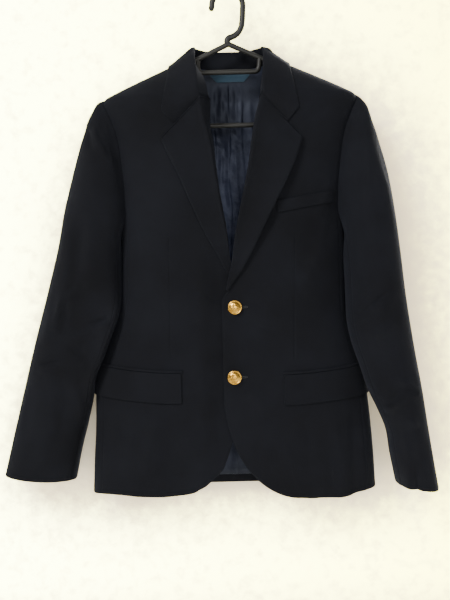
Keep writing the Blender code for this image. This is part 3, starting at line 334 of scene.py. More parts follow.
def body(name, height):
    return smooth(column(BODY_ROWS, BODY_COLUMNS, name), height)


def section_point(angle, height):
    """Point of the body's plain surface; the angle is in degrees round it: 0 at +X, -90 front, 90 back."""
    angle, height = matched(angle, height)
    across, deep = np.cos(np.radians(angle)), np.sin(np.radians(angle))
    depth = np.where(deep < 0, body("front", height), body("back", height))
    swell = np.where(across < 0, smooth(SIDE_SWELL[LEFT], height), smooth(SIDE_SWELL[RIGHT], height))
    share = signed_power(across, 2 / BODY_POWER)
    x = body("lean", height) + body("half_width", height) * share + swell * np.sign(share) * share ** 6
    y = depth * signed_power(deep, 2 / BODY_POWER)
    return np.stack((x, y, height), axis=-1)


def section_normal(angle, height):
    round_it = section_point(angle + 0.6, height) - section_point(angle - 0.6, height)
    up_it = section_point(angle, height + 1.0) - section_point(angle, height - 1.0)
    return unit(np.cross(round_it, up_it))


HEM_FOLD_Z = -730.0  # a fold that ends below this runs out over the hem


def fold_rise(folds, x, z, front):
    """How far the folds of a table lift the cloth at a place on the front or the back.

    A fold's width is wider on its lower side, so that its upper side is the crisp one; one that ends at a hem
    keeps its full height there.
    """
    rise = np.zeros_like(x)
    for face, rows in folds.items():
        for x0, z0, x1, z1, width, height in rows:
            along = np.array([x1 - x0, z1 - z0], float)
            length = np.hypot(*along)
            t = ((x - x0) * along[0] + (z - z0) * along[1]) / length ** 2
            t_near = np.clip(t, 0, 1)
            offset = ((z - z0) * along[0] - (x - x0) * along[1]) * math.copysign(1.0, along[0]) / length
            gap = np.hypot(x - x0 - t_near * along[0], z - z0 - t_near * along[1])
            spread = width * (1.25 - 0.45 * fade(offset, -width, width))
            ends = fade(t, 0.0, 0.6) if z1 < HEM_FOLD_Z else np.sin(math.pi * t_near) ** 0.7
            rise += np.where(front == (face == "front"), height * ends * np.exp(-(gap / spread) ** 2), 0.0)
    return rise


def body_point(angle, height, out=0.0):
    """Point of the folded body surface, moved out along its normal."""
    base = section_point(angle, height)
    front = np.sin(np.radians(angle)) < 0
    rise = fold_rise(BODY_FOLDS, base[..., 0], base[..., 2], front)
    rise = rise + CREASE_LIFT * fold_rise(BODY_CREASES, base[..., 0], base[..., 2], front)
    return base + section_normal(angle, height) * (out + rise)[..., None]


TURNS = np.linspace(0.0, 180.0, 361)
TABLE_TOP, TABLE_FOOT = NECK_HEIGHT, min(FRONT_HEM.values())
TABLE_HEIGHTS = np.linspace(TABLE_TOP, TABLE_FOOT, 325)


def run_table():
    """Length along the cloth from the front centre line, by height and by the angle turned."""
    points = section_point(TURNS[None, :] - 90.0, TABLE_HEIGHTS[:, None])
    steps = np.linalg.norm(np.diff(points, axis=1), axis=-1)
    return np.concatenate((np.zeros((len(TABLE_HEIGHTS), 1)), np.cumsum(steps, axis=1)), axis=1)


RUNS = run_table()


def run_of_turn(turn, height):
    """Run at an angle turned from the front centre line (0 to 180)."""
    turn, height = matched(turn, height)
    row = np.clip((height - TABLE_TOP) / (TABLE_FOOT - TABLE_TOP), 0, 1) * (len(TABLE_HEIGHTS) - 1)
    col = np.clip(turn / 180.0, 0, 1) * (len(TURNS) - 1)
    r0 = np.minimum(row.astype(int), len(TABLE_HEIGHTS) - 2)
    c0 = np.minimum(col.astype(int), len(TURNS) - 2)
    fr, fc = row - r0, col - c0
    top = RUNS[r0, c0] * (1 - fc) + RUNS[r0, c0 + 1] * fc
    foot = RUNS[r0 + 1, c0] * (1 - fc) + RUNS[r0 + 1, c0 + 1] * fc
    return top * (1 - fr) + foot * fr


def turn_of_run(run, height):
    """Angle turned from the front centre line at a run, found by halving."""
    low, high = np.zeros_like(run), np.full_like(run, 180.0)
    for _ in range(26):
        middle = (low + high) / 2
        short = run_of_turn(middle, height) < run
        low, high = np.where(short, middle, low), np.where(short, high, middle)
    return (low + high) / 2


def place(side, run, height, out=0.0):
    """Point at a run and height on one side; a negative run crosses the front centre line."""
    run, height, out = matched(run, height, out)
    turn = turn_of_run(np.abs(run), height)
    on_right = side * np.where(run < 0, -1, 1) > 0
    return body_point(np.where(on_right, turn - 90.0, 270.0 - turn), height, out)


def side_run(height):
    return run_of_turn(90.0, height)


def run_at_x(side, x, height):
    """Run of the front's point at a given x, negative past the centre line."""
    across = side * (x - body("lean", height)) / body("half_width", height)
    turn = 90.0 - np.degrees(np.arccos(np.clip(np.abs(across), 0, 1) ** (BODY_POWER / 2)))
    return np.sign(across) * run_of_turn(turn, height)


def face_point(x, z, out, sign):
    x, z, out = matched(x, z, out)
    across = (x - body("lean", z)) / body("half_width", z)
    angle = sign * np.degrees(np.arccos(np.clip(signed_power(across, BODY_POWER / 2), -1, 1)))
    return body_point(angle, z, out)


def chest_point(x, z, out=0.0):
    """Point of the front at a given x and height."""
    return face_point(x, z, out, -1)


def back_point(x, z, out=0.0):
    """Point of the back at a given x and height."""
    return face_point(x, z, out, 1)


# ---------------------------------------------------------------- meshes

def make_object(name, mesh, nodes):
    """Links a piece, lets it ride on the body and stand for its solids."""
    piece = bpy.data.objects.new(name, mesh)
    bpy.context.scene.collection.objects.link(piece)
    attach(piece, BODY)
    if nodes:
        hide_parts(*nodes)
    return piece


def make_mesh(name, points, faces, materials, patches, uv):
    """A smooth mesh from points in millimetres, with materials and each point's place on the cloth."""
    mesh = bpy.data.meshes.new(name)
    mesh.from_pydata((np.asarray(points) * MM).tolist(), [], np.asarray(faces).tolist())
    for made_of in materials:
        mesh.materials.append(made_of)
    mesh.polygons.foreach_set("material_index", np.asarray(patches, np.int32))
    corners = np.empty(len(mesh.loops), np.int32)
    mesh.loops.foreach_get("vertex_index", corners)
    layer = mesh.uv_layers.new(name="cloth")
    layer.uv.foreach_set("vector", (np.asarray(uv)[corners] * MM).astype(np.float32).ravel())
    mesh.validate()
    mesh.shade_smooth()
    return mesh


def face_outward(mesh):
    """Turns the faces of a closed mesh so that they look out."""
    shape = bmesh.new()
    shape.from_mesh(mesh)
    bmesh.ops.recalc_face_normals(shape, faces=shape.faces)
    shape.to_mesh(mesh)
    shape.free()


def ring_faces(bands, count, start=0):
    """Faces of the bands between rings of points; each ring has the same count."""
    here = start + np.arange(bands)[:, None] * count
    low, step = (here + np.arange(count)).ravel(), (here + (np.arange(count) + 1) % count).ravel()
    return np.stack((low, step, step + count, low + count), axis=-1)


def grid_faces(rows, cols, start=0, flip=False):
    a = (start + np.arange(rows - 1)[:, None] * cols + np.arange(cols - 1)[None, :]).ravel()
    quads = np.stack((a, a + 1, a + cols + 1, a + cols), axis=-1)
    return quads[:, ::-1] if flip else quads


def border(rows, cols):
    """Numbers of a grid's edge points in order round it."""
    rim = list(range(cols)) + [row * cols + cols - 1 for row in range(1, rows)]
    rim += [(rows - 1) * cols + col for col in range(cols - 2, -1, -1)]
    return np.array(rim + [row * cols for row in range(rows - 2, 0, -1)])


def outward(face):
    """For each edge point of a grid, the direction away from the cloth, within it."""
    rows, cols = face.shape[:2]
    flat, rim = face.reshape(-1, 3), border(rows, cols)
    row, col = np.divmod(rim, cols)
    inner = np.clip(row, 1, rows - 2) * cols + np.clip(col, 1, cols - 2)
    return unit(flat[rim] - flat[inner])


def wall_mesh(name, outer, inner, uv, materials, lined, bulge):
    """A closed wall between two grids: the visible face, the inside and a rounded edge between them.

    lined says where the inside shows the second material, for all of it or cell by cell.
    """
    rows, cols = outer.shape[:2]
    count = rows * cols
    flat_outer, flat_inner = outer.reshape(-1, 3), inner.reshape(-1, 3)
    rim = border(rows, cols)
    middle = (flat_outer[rim] + flat_inner[rim]) / 2 + outward(outer) * bulge
    points = np.concatenate((flat_outer, flat_inner, middle))
    here = np.arange(len(rim))
    after = np.roll(here, -1)
    faces = [grid_faces(rows, cols), grid_faces(rows, cols, count, flip=True)]
    edge, edge_after = 2 * count + here, 2 * count + after
    faces.append(np.stack((rim[after], rim[here], edge, edge_after), axis=-1))
    faces.append(np.stack((edge_after, edge, count + rim[here], count + rim[after]), axis=-1))
    inside = np.broadcast_to(lined, (rows - 1, cols - 1))
    patches = np.concatenate((np.zeros(len(faces[0])), inside.ravel(), np.zeros(2 * len(rim))))
    places = np.concatenate((uv.reshape(-1, 2), uv.reshape(-1, 2), uv.reshape(-1, 2)[rim]))
    mesh = make_mesh(name, points, np.concatenate(faces), materials, patches, places)
    face_outward(mesh)
    return mesh


LEAST_FILL = 0.31  # the smallest share of its flat rectangle that a cut is said to fill


def cloth_area(face):
    """Area of a grid of points in square metres, and its greatest width and length in metres."""
    across, down = np.diff(face, axis=1), np.diff(face, axis=0)
    cells = np.linalg.norm(np.cross(across[:-1], down[:, :-1]), axis=-1)
    width = np.linalg.norm(across, axis=-1).sum(axis=1).max() * MM
    length = np.linalg.norm(down, axis=-1).sum(axis=0).max() * MM
    return cells.sum() * MM * MM, width, length


def sided(side, piece, solid):
    """Names of a side's piece and of the solid that it stands for."""
    return f"{SIDE_NAMES[side]}_{piece}", f"{solid}_{SIDE_NAMES[side]}"


def add_panel(name, solid, mesh, face):
    """Adds a panel that stands for a solid, and works out the size it was cut to, before its seam allowances;
    that size is not used.
    """
    piece = make_object(name, mesh, [solid])
    area, width, length = cloth_area(face)
    area = min(max(area, LEAST_FILL * width * length), width * length)


def add_wall(name, solid, outer, inner, face, materials, lined, bulge, slot="wool"):
    mesh = wall_mesh(solid, outer, inner, cloth_places(face), materials, lined, bulge)
    add_panel(name, solid, mesh, face)


def face_normal(face):
    return unit(np.cross(np.gradient(face, axis=0), np.gradient(face, axis=1)))


def runs_over(face):
    """Lengths along a grid of cloth: across it from its first column, and down it from its first row."""
    across = np.linalg.norm(np.diff(face, axis=1), axis=-1)
    down = np.linalg.norm(np.diff(face, axis=0), axis=-1)
    u = np.concatenate((np.zeros((face.shape[0], 1)), np.cumsum(across, axis=1)), axis=1)
    v = np.concatenate((np.zeros((1, face.shape[1])), np.cumsum(down, axis=0)), axis=0)
    return u, v


def cloth_places(face):
    """Where each grid point lies on the flat cloth: across and along it, in millimetres."""
    u, v = runs_over(face)
    return np.stack((u, np.broadcast_to(v.mean(axis=1, keepdims=True), u.shape)), axis=-1)


# ---------------------------------------------------------------- finishes

def new_group(name, inputs, outputs):
    """A shader node group with named sockets; each input is (name, kind, value)."""
    group = bpy.data.node_groups.new(name, "ShaderNodeTree")
    for label, kind, value in inputs:
        socket = group.interface.new_socket(label, in_out="INPUT", socket_type=kind)
        if value is not None:
            socket.default_value = value
    for label, kind in outputs:
        group.interface.new_socket(label, in_out="OUTPUT", socket_type=kind)
    return group, group.nodes.new("NodeGroupInput"), group.nodes.new("NodeGroupOutput")


def add_node(tree, kind, settings=None, values=None):
    node = tree.nodes.new(kind)
    for key, value in (settings or {}).items():
        setattr(node, key, value)
    for key, value in (values or {}).items():
        node.inputs[key].default_value = value
    return node


def math_node(tree, operation, first, second=None):
    """A Math node whose two inputs are numbers or sockets."""
    node = add_node(tree, "ShaderNodeMath", {"operation": operation})
    for slot, value in zip(node.inputs, (first, second)):
        if isinstance(value, bpy.types.NodeSocket):
            tree.links.new(value, slot)
        elif value is not None:
            slot.default_value = value
    return node.outputs[0]


def twill_group():
    """Fine twill: height of the threads, and a light and dark tone, from places on the cloth in metres."""
    group, given, out = new_group(
        "fine twill",
        (("Places", "NodeSocketVector", None), ("Threads per metre", "NodeSocketFloat", 1900.0),
         ("Rib slope", "NodeSocketFloat", 0.5)),
        (("Height", "NodeSocketFloat"), ("Tone", "NodeSocketFloat")))
    split = add_node(group, "ShaderNodeSeparateXYZ")
    group.links.new(given.outputs["Places"], split.inputs[0])
    pitch = math_node(group, "MULTIPLY", given.outputs["Threads per metre"], math.pi)
    across = math_node(group, "MULTIPLY", split.outputs["X"], pitch)
    along = math_node(group, "MULTIPLY", split.outputs["Y"], pitch)
    slanted = math_node(group, "MULTIPLY", along, given.outputs["Rib slope"])
    rib = math_node(group, "SINE", math_node(group, "ADD", across, slanted))
    thread = math_node(group, "SINE", math_node(group, "MULTIPLY", along, 2.0))
    height = math_node(group, "ADD", rib, math_node(group, "MULTIPLY", thread, 0.4))
    group.links.new(height, out.inputs["Height"])
    group.links.new(math_node(group, "MULTIPLY_ADD", rib, 0.5), out.inputs["Tone"])
    return group


def mottle_group():
    """Soft uneven tone over a surface, at two scales."""
    group, given, out = new_group(
        "soft mottle",
        (("Places", "NodeSocketVector", None), ("Large scale", "NodeSocketFloat", 9.0),
         ("Small scale", "NodeSocketFloat", 160.0), ("Small share", "NodeSocketFloat", 0.5)),
        (("Tone", "NodeSocketFloat"), ("Fine", "NodeSocketFloat")))
    large = add_node(group, "ShaderNodeTexNoise", None, {"Detail": 3.0, "Roughness": 0.55})
    small = add_node(group, "ShaderNodeTexNoise", None, {"Detail": 4.0, "Roughness": 0.65})
    for node, scale in ((large, "Large scale"), (small, "Small scale")):
        group.links.new(given.outputs["Places"], node.inputs["Vector"])
        group.links.new(given.outputs[scale], node.inputs["Scale"])
    fine = math_node(group, "MULTIPLY", small.outputs[0], given.outputs["Small share"])
    tone = math_node(group, "ADD", large.outputs[0], fine)
    span = math_node(group, "ADD", given.outputs["Small share"], 1.0)
    group.links.new(math_node(group, "DIVIDE", tone, span), out.inputs["Tone"])
    group.links.new(small.outputs[0], out.inputs["Fine"])
    return group


def group_node(tree, group, values):
    return add_node(tree, "ShaderNodeGroup", {"node_tree": group}, values)


def new_material(name):
    made = bpy.data.materials.new(name)
    made.use_nodes = True
    return made, made.node_tree, made.node_tree.nodes["Principled BSDF"]


def tone_colour(tree, tone, dark, light, low, high):
    """A colour between dark and light as the tone goes from low to high."""
    ramp = add_node(tree, "ShaderNodeValToRGB")
    for stop, position, colour in zip(ramp.color_ramp.elements, (low, high), (dark, light)):
        stop.position = position
        stop.color = (*colour, 1.0)
    tree.links.new(tone, ramp.inputs[0])
    return ramp.outputs[0]


def tone_value(tree, tone, low, high):
    """A number between low and high as the tone goes from 0 to 1."""
    node = add_node(tree, "ShaderNodeMapRange", None, {"To Min": low, "To Max": high})
    tree.links.new(tone, node.inputs["Value"])
    return node.outputs[0]


def bump(tree, height, distance, strength):
    node = add_node(tree, "ShaderNodeBump", None, {"Distance": distance, "Strength": strength})
    tree.links.new(height, node.inputs["Height"])
    return node.outputs["Normal"]


THREAD_SHARE = 0.35  # of the threads' height beside the fine mottle's, in the wool's relief


def finish(name, groups, colours, span, relief, mottle=(), twill=(), rough=0.5, sockets=None):
    """A material made with the shared groups.

    colours are its dark and its light, and span is the tones between which one turns into the other. relief
    is the output that raises the surface, with its distance and strength. mottle and twill are the groups'
    own values. rough is a number, or an output with the range that it is spread over. sockets are the
    shader's plain values.
    """
    made, tree, shader = new_material(name)
    found = {}
    if mottle:
        values = dict(zip(("Large scale", "Small scale", "Small share"), mottle))
        node = group_node(tree, groups["mottle"], values)
        tree.links.new(add_node(tree, "ShaderNodeTexCoord").outputs["Object"], node.inputs["Places"])
        found.update({"mottle": node.outputs["Tone"], "fine": node.outputs["Fine"]})
    if twill:
        node = group_node(tree, groups["twill"], dict(zip(("Threads per metre", "Rib slope"), twill)))
        places = add_node(tree, "ShaderNodeUVMap", {"uv_map": "cloth"})
        tree.links.new(places.outputs[0], node.inputs["Places"])
        found.update({"threads": node.outputs["Height"], "weave": node.outputs["Tone"]})
    colour = tone_colour(tree, found["mottle" if mottle else "weave"], *colours, *span)
    tree.links.new(colour, shader.inputs["Base Color"])
    if isinstance(rough, tuple):
        source, low, high = rough
        tree.links.new(tone_value(tree, found[source], low, high), shader.inputs["Roughness"])
    else:
        shader.inputs["Roughness"].default_value = rough
    source, distance, strength = relief
    if source == "threads and fine":
        threads = math_node(tree, "MULTIPLY", found["threads"], THREAD_SHARE)
        height = math_node(tree, "ADD", threads, found["fine"])
    else:
        height = found[source]
    tree.links.new(bump(tree, height, distance, strength), shader.inputs["Normal"])
    for socket, value in (sockets or {}).items():
        shader.inputs[socket].default_value = value
    return made


def wool_material(groups):
    return finish(
        "navy wool", groups, colours=((0.0026, 0.0029, 0.0046), (0.0059, 0.0067, 0.0104)), span=(0.38, 0.62),
        relief=("threads and fine", 0.0003, 0.5), mottle=(11.0, 420.0, 0.9), twill=(1900.0, 0.5),
        rough=("fine", 0.72, 0.95),
        sockets={"Sheen Weight": 0.035, "Sheen Roughness": 0.55, "Sheen Tint": (0.62, 0.70, 0.95, 1.0),
                 "Specular IOR Level": 0.16})


# Painted light on the satin: it is painted paler where the front's opening is deepest, standing in for the
# light that reaches in there: share of its colour by place, hem to neck.
SATIN_PAINTED_LIGHT = ((0.05, 0.20), (0.3, 0.25), (0.52, 1.0), (0.62, 1.0), (0.76, 0.58), (0.87, 0.19), (0.97, 0.15))
SATIN_FOOT, SATIN_HEAD = -0.74, -0.10  # heights of places 0 and 1, in metres


def satin_material(groups):
    made = finish(
        "navy satin", groups, colours=((0.038, 0.047, 0.088), (0.108, 0.126, 0.205)), span=(0.36, 0.64),
        relief=("threads", 0.0001, 0.2), mottle=(26.0, 300.0, 0.35), twill=(3400.0, 0.2),
        rough=("mottle", 0.36, 0.50),
        sockets={"Sheen Weight": 0.05, "Sheen Roughness": 0.35, "Sheen Tint": (0.40, 0.50, 1.0, 1.0),
                 "Specular IOR Level": 0.30, "Specular Tint": (0.72, 0.80, 1.0, 1.0)})
    tree = made.node_tree
    base = tree.nodes["Principled BSDF"].inputs["Base Color"]
    colour = base.links[0].from_socket
    split = add_node(tree, "ShaderNodeSeparateXYZ")
    tree.links.new(add_node(tree, "ShaderNodeTexCoord").outputs["Object"], split.inputs[0])
    height = add_node(tree, "ShaderNodeMapRange", None, {"From Min": SATIN_FOOT, "From Max": SATIN_HEAD})
    tree.links.new(split.outputs["Z"], height.inputs["Value"])
    # painted light: the satin's colour is scaled by its height, paler deep in the front's opening
    depth = add_node(tree, "ShaderNodeValToRGB")
    for place_on, share in SATIN_PAINTED_LIGHT:
        stop = depth.color_ramp.elements.new(place_on)
        stop.color = (share, share, share, 1.0)
    tree.links.new(height.outputs[0], depth.inputs[0])
    painted_light_mix = add_node(tree, "ShaderNodeMix", {"data_type": "RGBA", "blend_type": "MULTIPLY"}, {0: 1.0})
    tree.links.new(colour, painted_light_mix.inputs[6])
    tree.links.new(depth.outputs[0], painted_light_mix.inputs[7])
    tree.links.new(painted_light_mix.outputs[2], base)
    return made


def label_material(groups):
    return finish(
        "teal tape", groups, colours=((0.011, 0.040, 0.074), (0.020, 0.066, 0.110)), span=(0.0, 1.0),
        relief=("threads", 0.0002, 0.6), twill=(1500.0, 0.0), sockets={"Sheen Weight": 0.2})


def thread_material(groups):
    return finish(
        "buttonhole thread", groups, colours=((0.0042, 0.0049, 0.007), (0.0078, 0.0091, 0.013)),
        span=(0.25, 0.75), relief=("fine", 0.0002, 0.5), mottle=(80.0, 1800.0, 1.0), rough=0.6,
        sockets={"Sheen Weight": 0.2})


def gold_material(groups):
    return finish(
        "gilt metal", groups, colours=((0.42, 0.20, 0.022), (0.93, 0.56, 0.11)), span=(0.36, 0.62),
        relief=("fine", 0.0004, 0.35), mottle=(190.0, 640.0, 0.8), rough=("fine", 0.16, 0.36),
        sockets={"Metallic": 1.0})


def plastic_material(groups):
    return finish(
        "grey moulded plastic", groups, colours=((0.014, 0.014, 0.013), (0.027, 0.027, 0.025)),
        span=(0.3, 0.7), relief=("fine", 0.0003, 0.25), mottle=(18.0, 260.0, 0.6),
        rough=("mottle", 0.38, 0.56), sockets={"Specular IOR Level": 0.38})


# ---------------------------------------------------------------- body panels

# How deep the cloth sinks at each kind of line, and over which reach.
SEAM_GROOVE, GORGE_GROOVE, DART_GROOVE = (0.45, 1.2), (0.35, 0.8), (0.45, 1.1)
EDGE_GROOVE = (0.75, 1.1)  # the same for the rounding of a folded edge
DART_FADE = (20.0, 14.0)  # a dart is at its full depth this far below its top and above its foot
DART_LIMITS = (0.3, 0.7)  # where the grid may follow the dart, as shares of the front's width
ARM_SINK, ARM_SETTLE = 0.8, 4.0  # a panel dips this deep under a sleeve's mouth, over this run
ARM_SINK_FALL = (155.5, 162.0)  # how far down that dip starts and is full
SIDE_SETTLE = (2.5, 8.0)  # how far below the armhole a side panel leaves the dip
ARM_TOP = ARM_MIDDLE + ARM_HALF - ARM_TUCK
HEM_REACH = 90.0  # how far up a hem's uneven line is felt
UNDERLAP_X, UNDERLAP_FALL = (-52.0, -24.0), (370.0, 400.0)
FACING_WIDTH, FACING_FOOT = 34.0, -150.0  # wool inside a front: beside its free edge, and above this height
TURN_UP = {"side": 34.0, "back": 14.0, "sleeve": 32.0}  # the wool turned up inside each hem
CHEST_Z, SKIRT_Z = -160.0, -600.0  # heights where the panels' rows change their pitch
FRONT_TOP, NECK_POINT = -101.0, 4.0  # a front's first row, and its least width there
BACK_TOP, NECK_FOOT = -99.1, -110.0  # a back's first row, and its first row below the neckline
SIDE_WAIST, SIDE_SKIRT = -392.0, -620.0
ARCH_SHARES = (0.0, 0.02, 0.05, 0.1, 0.2, 0.35, 0.5, 0.65, 0.82)  # a side panel's rows down from the armhole
SEAM_BULGE = 0.02  # how far the cut edges at a seam swell


def groove(distance, depth, reach):
    return depth * np.exp(-(distance / reach) ** 2)


def arm_sink(beyond, height):
    """How deep a panel dips at a distance beyond the armhole's edge."""
    return ARM_SINK * (1 - fade(beyond, 0.0, ARM_SETTLE)) * fade(-height, *ARM_SINK_FALL)


def hem_shift(side, x, height, hem):
    """How far the cloth above the hem moves, so that the hem follows its line."""
    return (smooth(HEM_LINE[side], x) - hem) * fade(-height, -hem - HEM_REACH, -hem)


def nearest(points, line):
    """Distance from each (run, height) point to a polyline's points."""
    flat = points.reshape(-1, 2)
    best = np.full(len(flat), 1e9)
    for a, b in zip(line[:-1], line[1:]):
        along = b - a
        t = np.clip(((flat - a) @ along) / max(along @ along, 1e-9), 0, 1)
        best = np.minimum(best, np.linalg.norm(flat - a - t[:, None] * along, axis=1))
    return best.reshape(points.shape[:-1])


def armhole_bite(height, face, tuck=0.0):
    """Run from the side line to the armhole's edge at a height, 0 above and below it."""
    q = np.clip(np.abs(np.asarray(height, float) - ARM_MIDDLE) / (ARM_HALF - tuck), 0, 1)
    return np.maximum(ARM_BITE[face] * (1 - q * q) ** (ARM_POWER / 2) - tuck, 0.0)


def armhole_foot(bite, face):
    """Height of the armhole's lower edge at a run from the side line."""
    share = np.clip((bite + ARM_TUCK) / ARM_BITE[face], 0, 1) ** (2 / ARM_POWER)
    return ARM_MIDDLE - (ARM_HALF - ARM_TUCK) * np.sqrt(1 - share)


def seam_top(face):
    """Height at which a front's side seam, or a back's, meets the armhole."""
    return float(armhole_foot(np.array(SIDE_SEAM[face]), face))


def outer_limit(height, face):
    """Run of a front's outer edge, or of a back's, measured from the side line."""
    bite = np.where(height < seam_top(face), SIDE_SEAM[face], armhole_bite(height, face, ARM_TUCK))
    return bite + np.where(height > ARM_TOP, 0.0, SEAM)


def seam_tuck(height, face):
    """Run that keeps the shoulder seam's gap, measured across the steep ridge."""
    turned = np.degrees(np.arcsin((SEAM / body(face, height)) ** (BODY_POWER / 2)))
    return abs(side_run(height) - run_of_turn(90.0 - turned, height))


def front_inner_x(side, height):
    """x of a front's inner edge: beside the roll line, then the straight edge, then the round corner."""
    slack = EDGE_SLACK + NECK_SLACK * fade(height, -130.0, -101.0)
    slack = slack + FOOT_SLACK * fade(-height, 420.0, -LAPEL_FOOT)
    roll = smooth(ROLL[side], height) + side * slack
    if side == LEFT:
        straight = smooth(LEFT_CORNER, height)
        mix = fade(-height, -UNDERLAP_START, -UNDERLAP_END)
    else:
        edge, turn_height, turn_width = FRONT_EDGE
        drop = np.clip((turn_height - height) / (turn_height - FRONT_HEM[side]), 0, 1)
        straight = edge + turn_width * (1 - np.sqrt(1 - (0.999 * drop) ** 2))
        mix = fade(-height, -LAPEL_FOOT, 462.0)
    return roll * (1 - mix) + straight * mix


def underlap_sink(side, x, height):
    """How far the lower front is pressed in where the other laps over it."""
    if side == RIGHT:
        return np.zeros_like(x)
    return UNDERLAP_SINK * fade(x, *UNDERLAP_X) * fade(-height, *UNDERLAP_FALL)


def dart_x(side, height):
    """x of a front's dart, carried on above and below it."""
    (top, top_x), (foot, foot_x) = DARTS[side]
    return top_x + (foot_x - top_x) * (height - top) / (foot - top)


def dart_dip(side, x, height):
    """How deep a front sinks at its dart."""
    (top, _), (foot, _) = DARTS[side]
    below_top, above_foot = DART_FADE
    on_dart = fade(-height, -top, below_top - top) * (1 - fade(-height, -foot - above_foot, -foot))
    return on_dart * groove(x - dart_x(side, height), *DART_GROOVE)


def panel_faces(side, run, height, sink, dip, rounding):
    """The visible face of a panel and its inside, which takes no part in the seams' dip."""
    outer = place(side, run, height, -sink - dip - rounding)
    return outer, place(side, run, height, -sink - WOOL + INNER_ROUND * rounding)


def front_grid(side):
    """Runs and heights of a front's grid, closest together at its edges and its dart."""
    toward_hem = 1 - (1 - np.linspace(0.0, 1.0, 44)) ** 2
    height = np.concatenate((crowded(FRONT_TOP, CHEST_Z, 26)[:-1], np.linspace(CHEST_Z, SKIRT_Z, 180)[:-1],
                             SKIRT_Z + (FRONT_HEM[side] - SKIRT_Z) * toward_hem))
    inner = run_at_x(side, front_inner_x(side, height), height)
    outer = side_run(height) - outer_limit(height, "front")
    outer = np.where(height > ARM_TOP, side_run(height) - seam_tuck(height, "front"), outer)
    inner[0] = min(inner[0], outer[0] - NECK_POINT)
    near, far = DART_LIMITS
    dart = run_at_x(side, dart_x(side, height), height)
    dart = np.clip(dart, inner + near * (outer - inner), inner + far * (outer - inner))
    share = crowded(0.0, 1.0, 36)[None, :]
    run = np.concatenate((inner[:, None] + (dart - inner)[:, None] * share,
                          dart[:, None] + (outer - dart)[:, None] * share[:, 1:]), axis=1)
    return run, np.repeat(height[:, None], run.shape[1], axis=1)


def build_front(side, wool, satin):
    run, z = front_grid(side)
    spots = np.stack((run, z), axis=-1)
    to_free = nearest(spots, np.concatenate((spots[:, 0], spots[-1, 1:])))
    to_seam = np.abs(run - run[:, -1:])
    beyond = side_run(z) - run - armhole_bite(z, "front")
    z = z + hem_shift(side, place(side, run, z)[..., 0], z, FRONT_HEM[side])
    flat = place(side, run, z)
    armhole = z > seam_top("front")
    sink = underlap_sink(side, flat[..., 0], z) + np.where(armhole, arm_sink(beyond, z), 0.0)
    dip = np.where(armhole, 0.0, groove(to_seam, *SEAM_GROOVE)) + dart_dip(side, flat[..., 0], z)
    outer, inner = panel_faces(side, run, z, sink, dip, groove(to_free, *EDGE_GROOVE))
    lined = (to_free[:-1, :-1] >= FACING_WIDTH) & (z[:-1, :-1] <= FACING_FOOT)
    names = sided(side, "front", "front")
    add_wall(*names, outer, inner, flat, (wool, satin), lined, SEAM_BULGE)


def build_side(side, wool, satin):
    across = crowded(-SIDE_SEAM["front"] + SEAM, SIDE_SEAM["back"] - SEAM, 22)
    top = np.where(across < 0, armhole_foot(np.abs(across), "front"), armhole_foot(np.abs(across), "back"))
    hem = SIDE_HEM[side]
    straight = np.concatenate((np.linspace(SIDE_WAIST, SIDE_SKIRT, 46), crowded(SIDE_SKIRT, hem, 40)[1:]))
    arched = [top + (SIDE_WAIST - top) * share for share in ARCH_SHARES]
    z = np.concatenate((arched, np.repeat(straight[:, None], len(across), axis=1)))
    run = side_run(z) + across[None, :]
    to_seam = np.minimum(run - run[:, :1], run[:, -1:] - run)
    rounding = groove(z - hem, *EDGE_GROOVE)
    sink = ARM_SINK * (1 - fade(top[None, :] - z, *SIDE_SETTLE))
    shift = hem_shift(side, place(side, run, z)[..., 0], z, hem)
    behind = (BACK_HEM - hem) * fade(-z, -hem - HEM_REACH, -hem)
    turned = fade(across, 0.0, SIDE_SEAM["back"])[None, :]
    z = z + shift * (1 - turned) + behind * turned
    outer, inner = panel_faces(side, run, z, sink, groove(to_seam, *SEAM_GROOVE), rounding)
    lined = z[:-1, :-1] >= hem + TURN_UP["side"]
    names = sided(side, "side_panel", "side")
    add_wall(*names, outer, inner, place(side, run, z), (wool, satin), lined, SEAM_BULGE)


def neckline_x(height):
    """Half width of the back neck at a height."""
    dip = np.clip((NECK_HEIGHT - height) / NECK_DIP, 0, 1)
    return NECK_HALF * np.sqrt(1 - dip * dip)


def build_back(side, wool, satin):
    turns = np.radians(np.linspace(4.0, 90.0, 22))
    height = np.concatenate(([BACK_TOP], NECK_HEIGHT - NECK_DIP * np.sin(turns),
                             np.linspace(NECK_FOOT, SKIRT_Z, 110), crowded(SKIRT_Z, BACK_HEM, 44)[1:]))
    height = np.sort(height)[::-1]
    total = run_of_turn(180.0, height)
    across = np.clip(neckline_x(height) / body("half_width", height), 0, 1) ** (BODY_POWER / 2)
    neck = run_of_turn(90.0 + np.degrees(np.arccos(across)), height)
    inner_edge = np.minimum(neck, total - BACK_SEAM)
    bite = np.where(height > ARM_TOP, seam_tuck(height, "back"), outer_limit(height, "back"))
    edge = side_run(height) + bite
    run = edge[:, None] + (inner_edge - edge)[:, None] * crowded(0.0, 1.0, 40)[None, :]
    z = np.repeat(height[:, None], run.shape[1], axis=1)
    to_centre = np.where(z <= NECK_FOOT, total[:, None] - run, np.inf)
    beyond = run - side_run(z) - armhole_bite(z, "back")
    armhole = z > seam_top("back")
    sink = np.where(armhole, arm_sink(beyond, z), 0.0)
    dip = np.where(armhole, 0.0, groove(np.minimum(run - run[:, :1], to_centre), *SEAM_GROOVE))
    outer, inner = panel_faces(side, run, z, sink, dip, groove(z - BACK_HEM, *EDGE_GROOVE))
    lined = z[:-1, :-1] >= BACK_HEM + TURN_UP["back"]
    names = sided(side, "back", "back")
    add_wall(*names, outer, inner, place(side, run, z), (wool, satin), lined, SEAM_BULGE)


# ---------------------------------------------------------------- sleeves

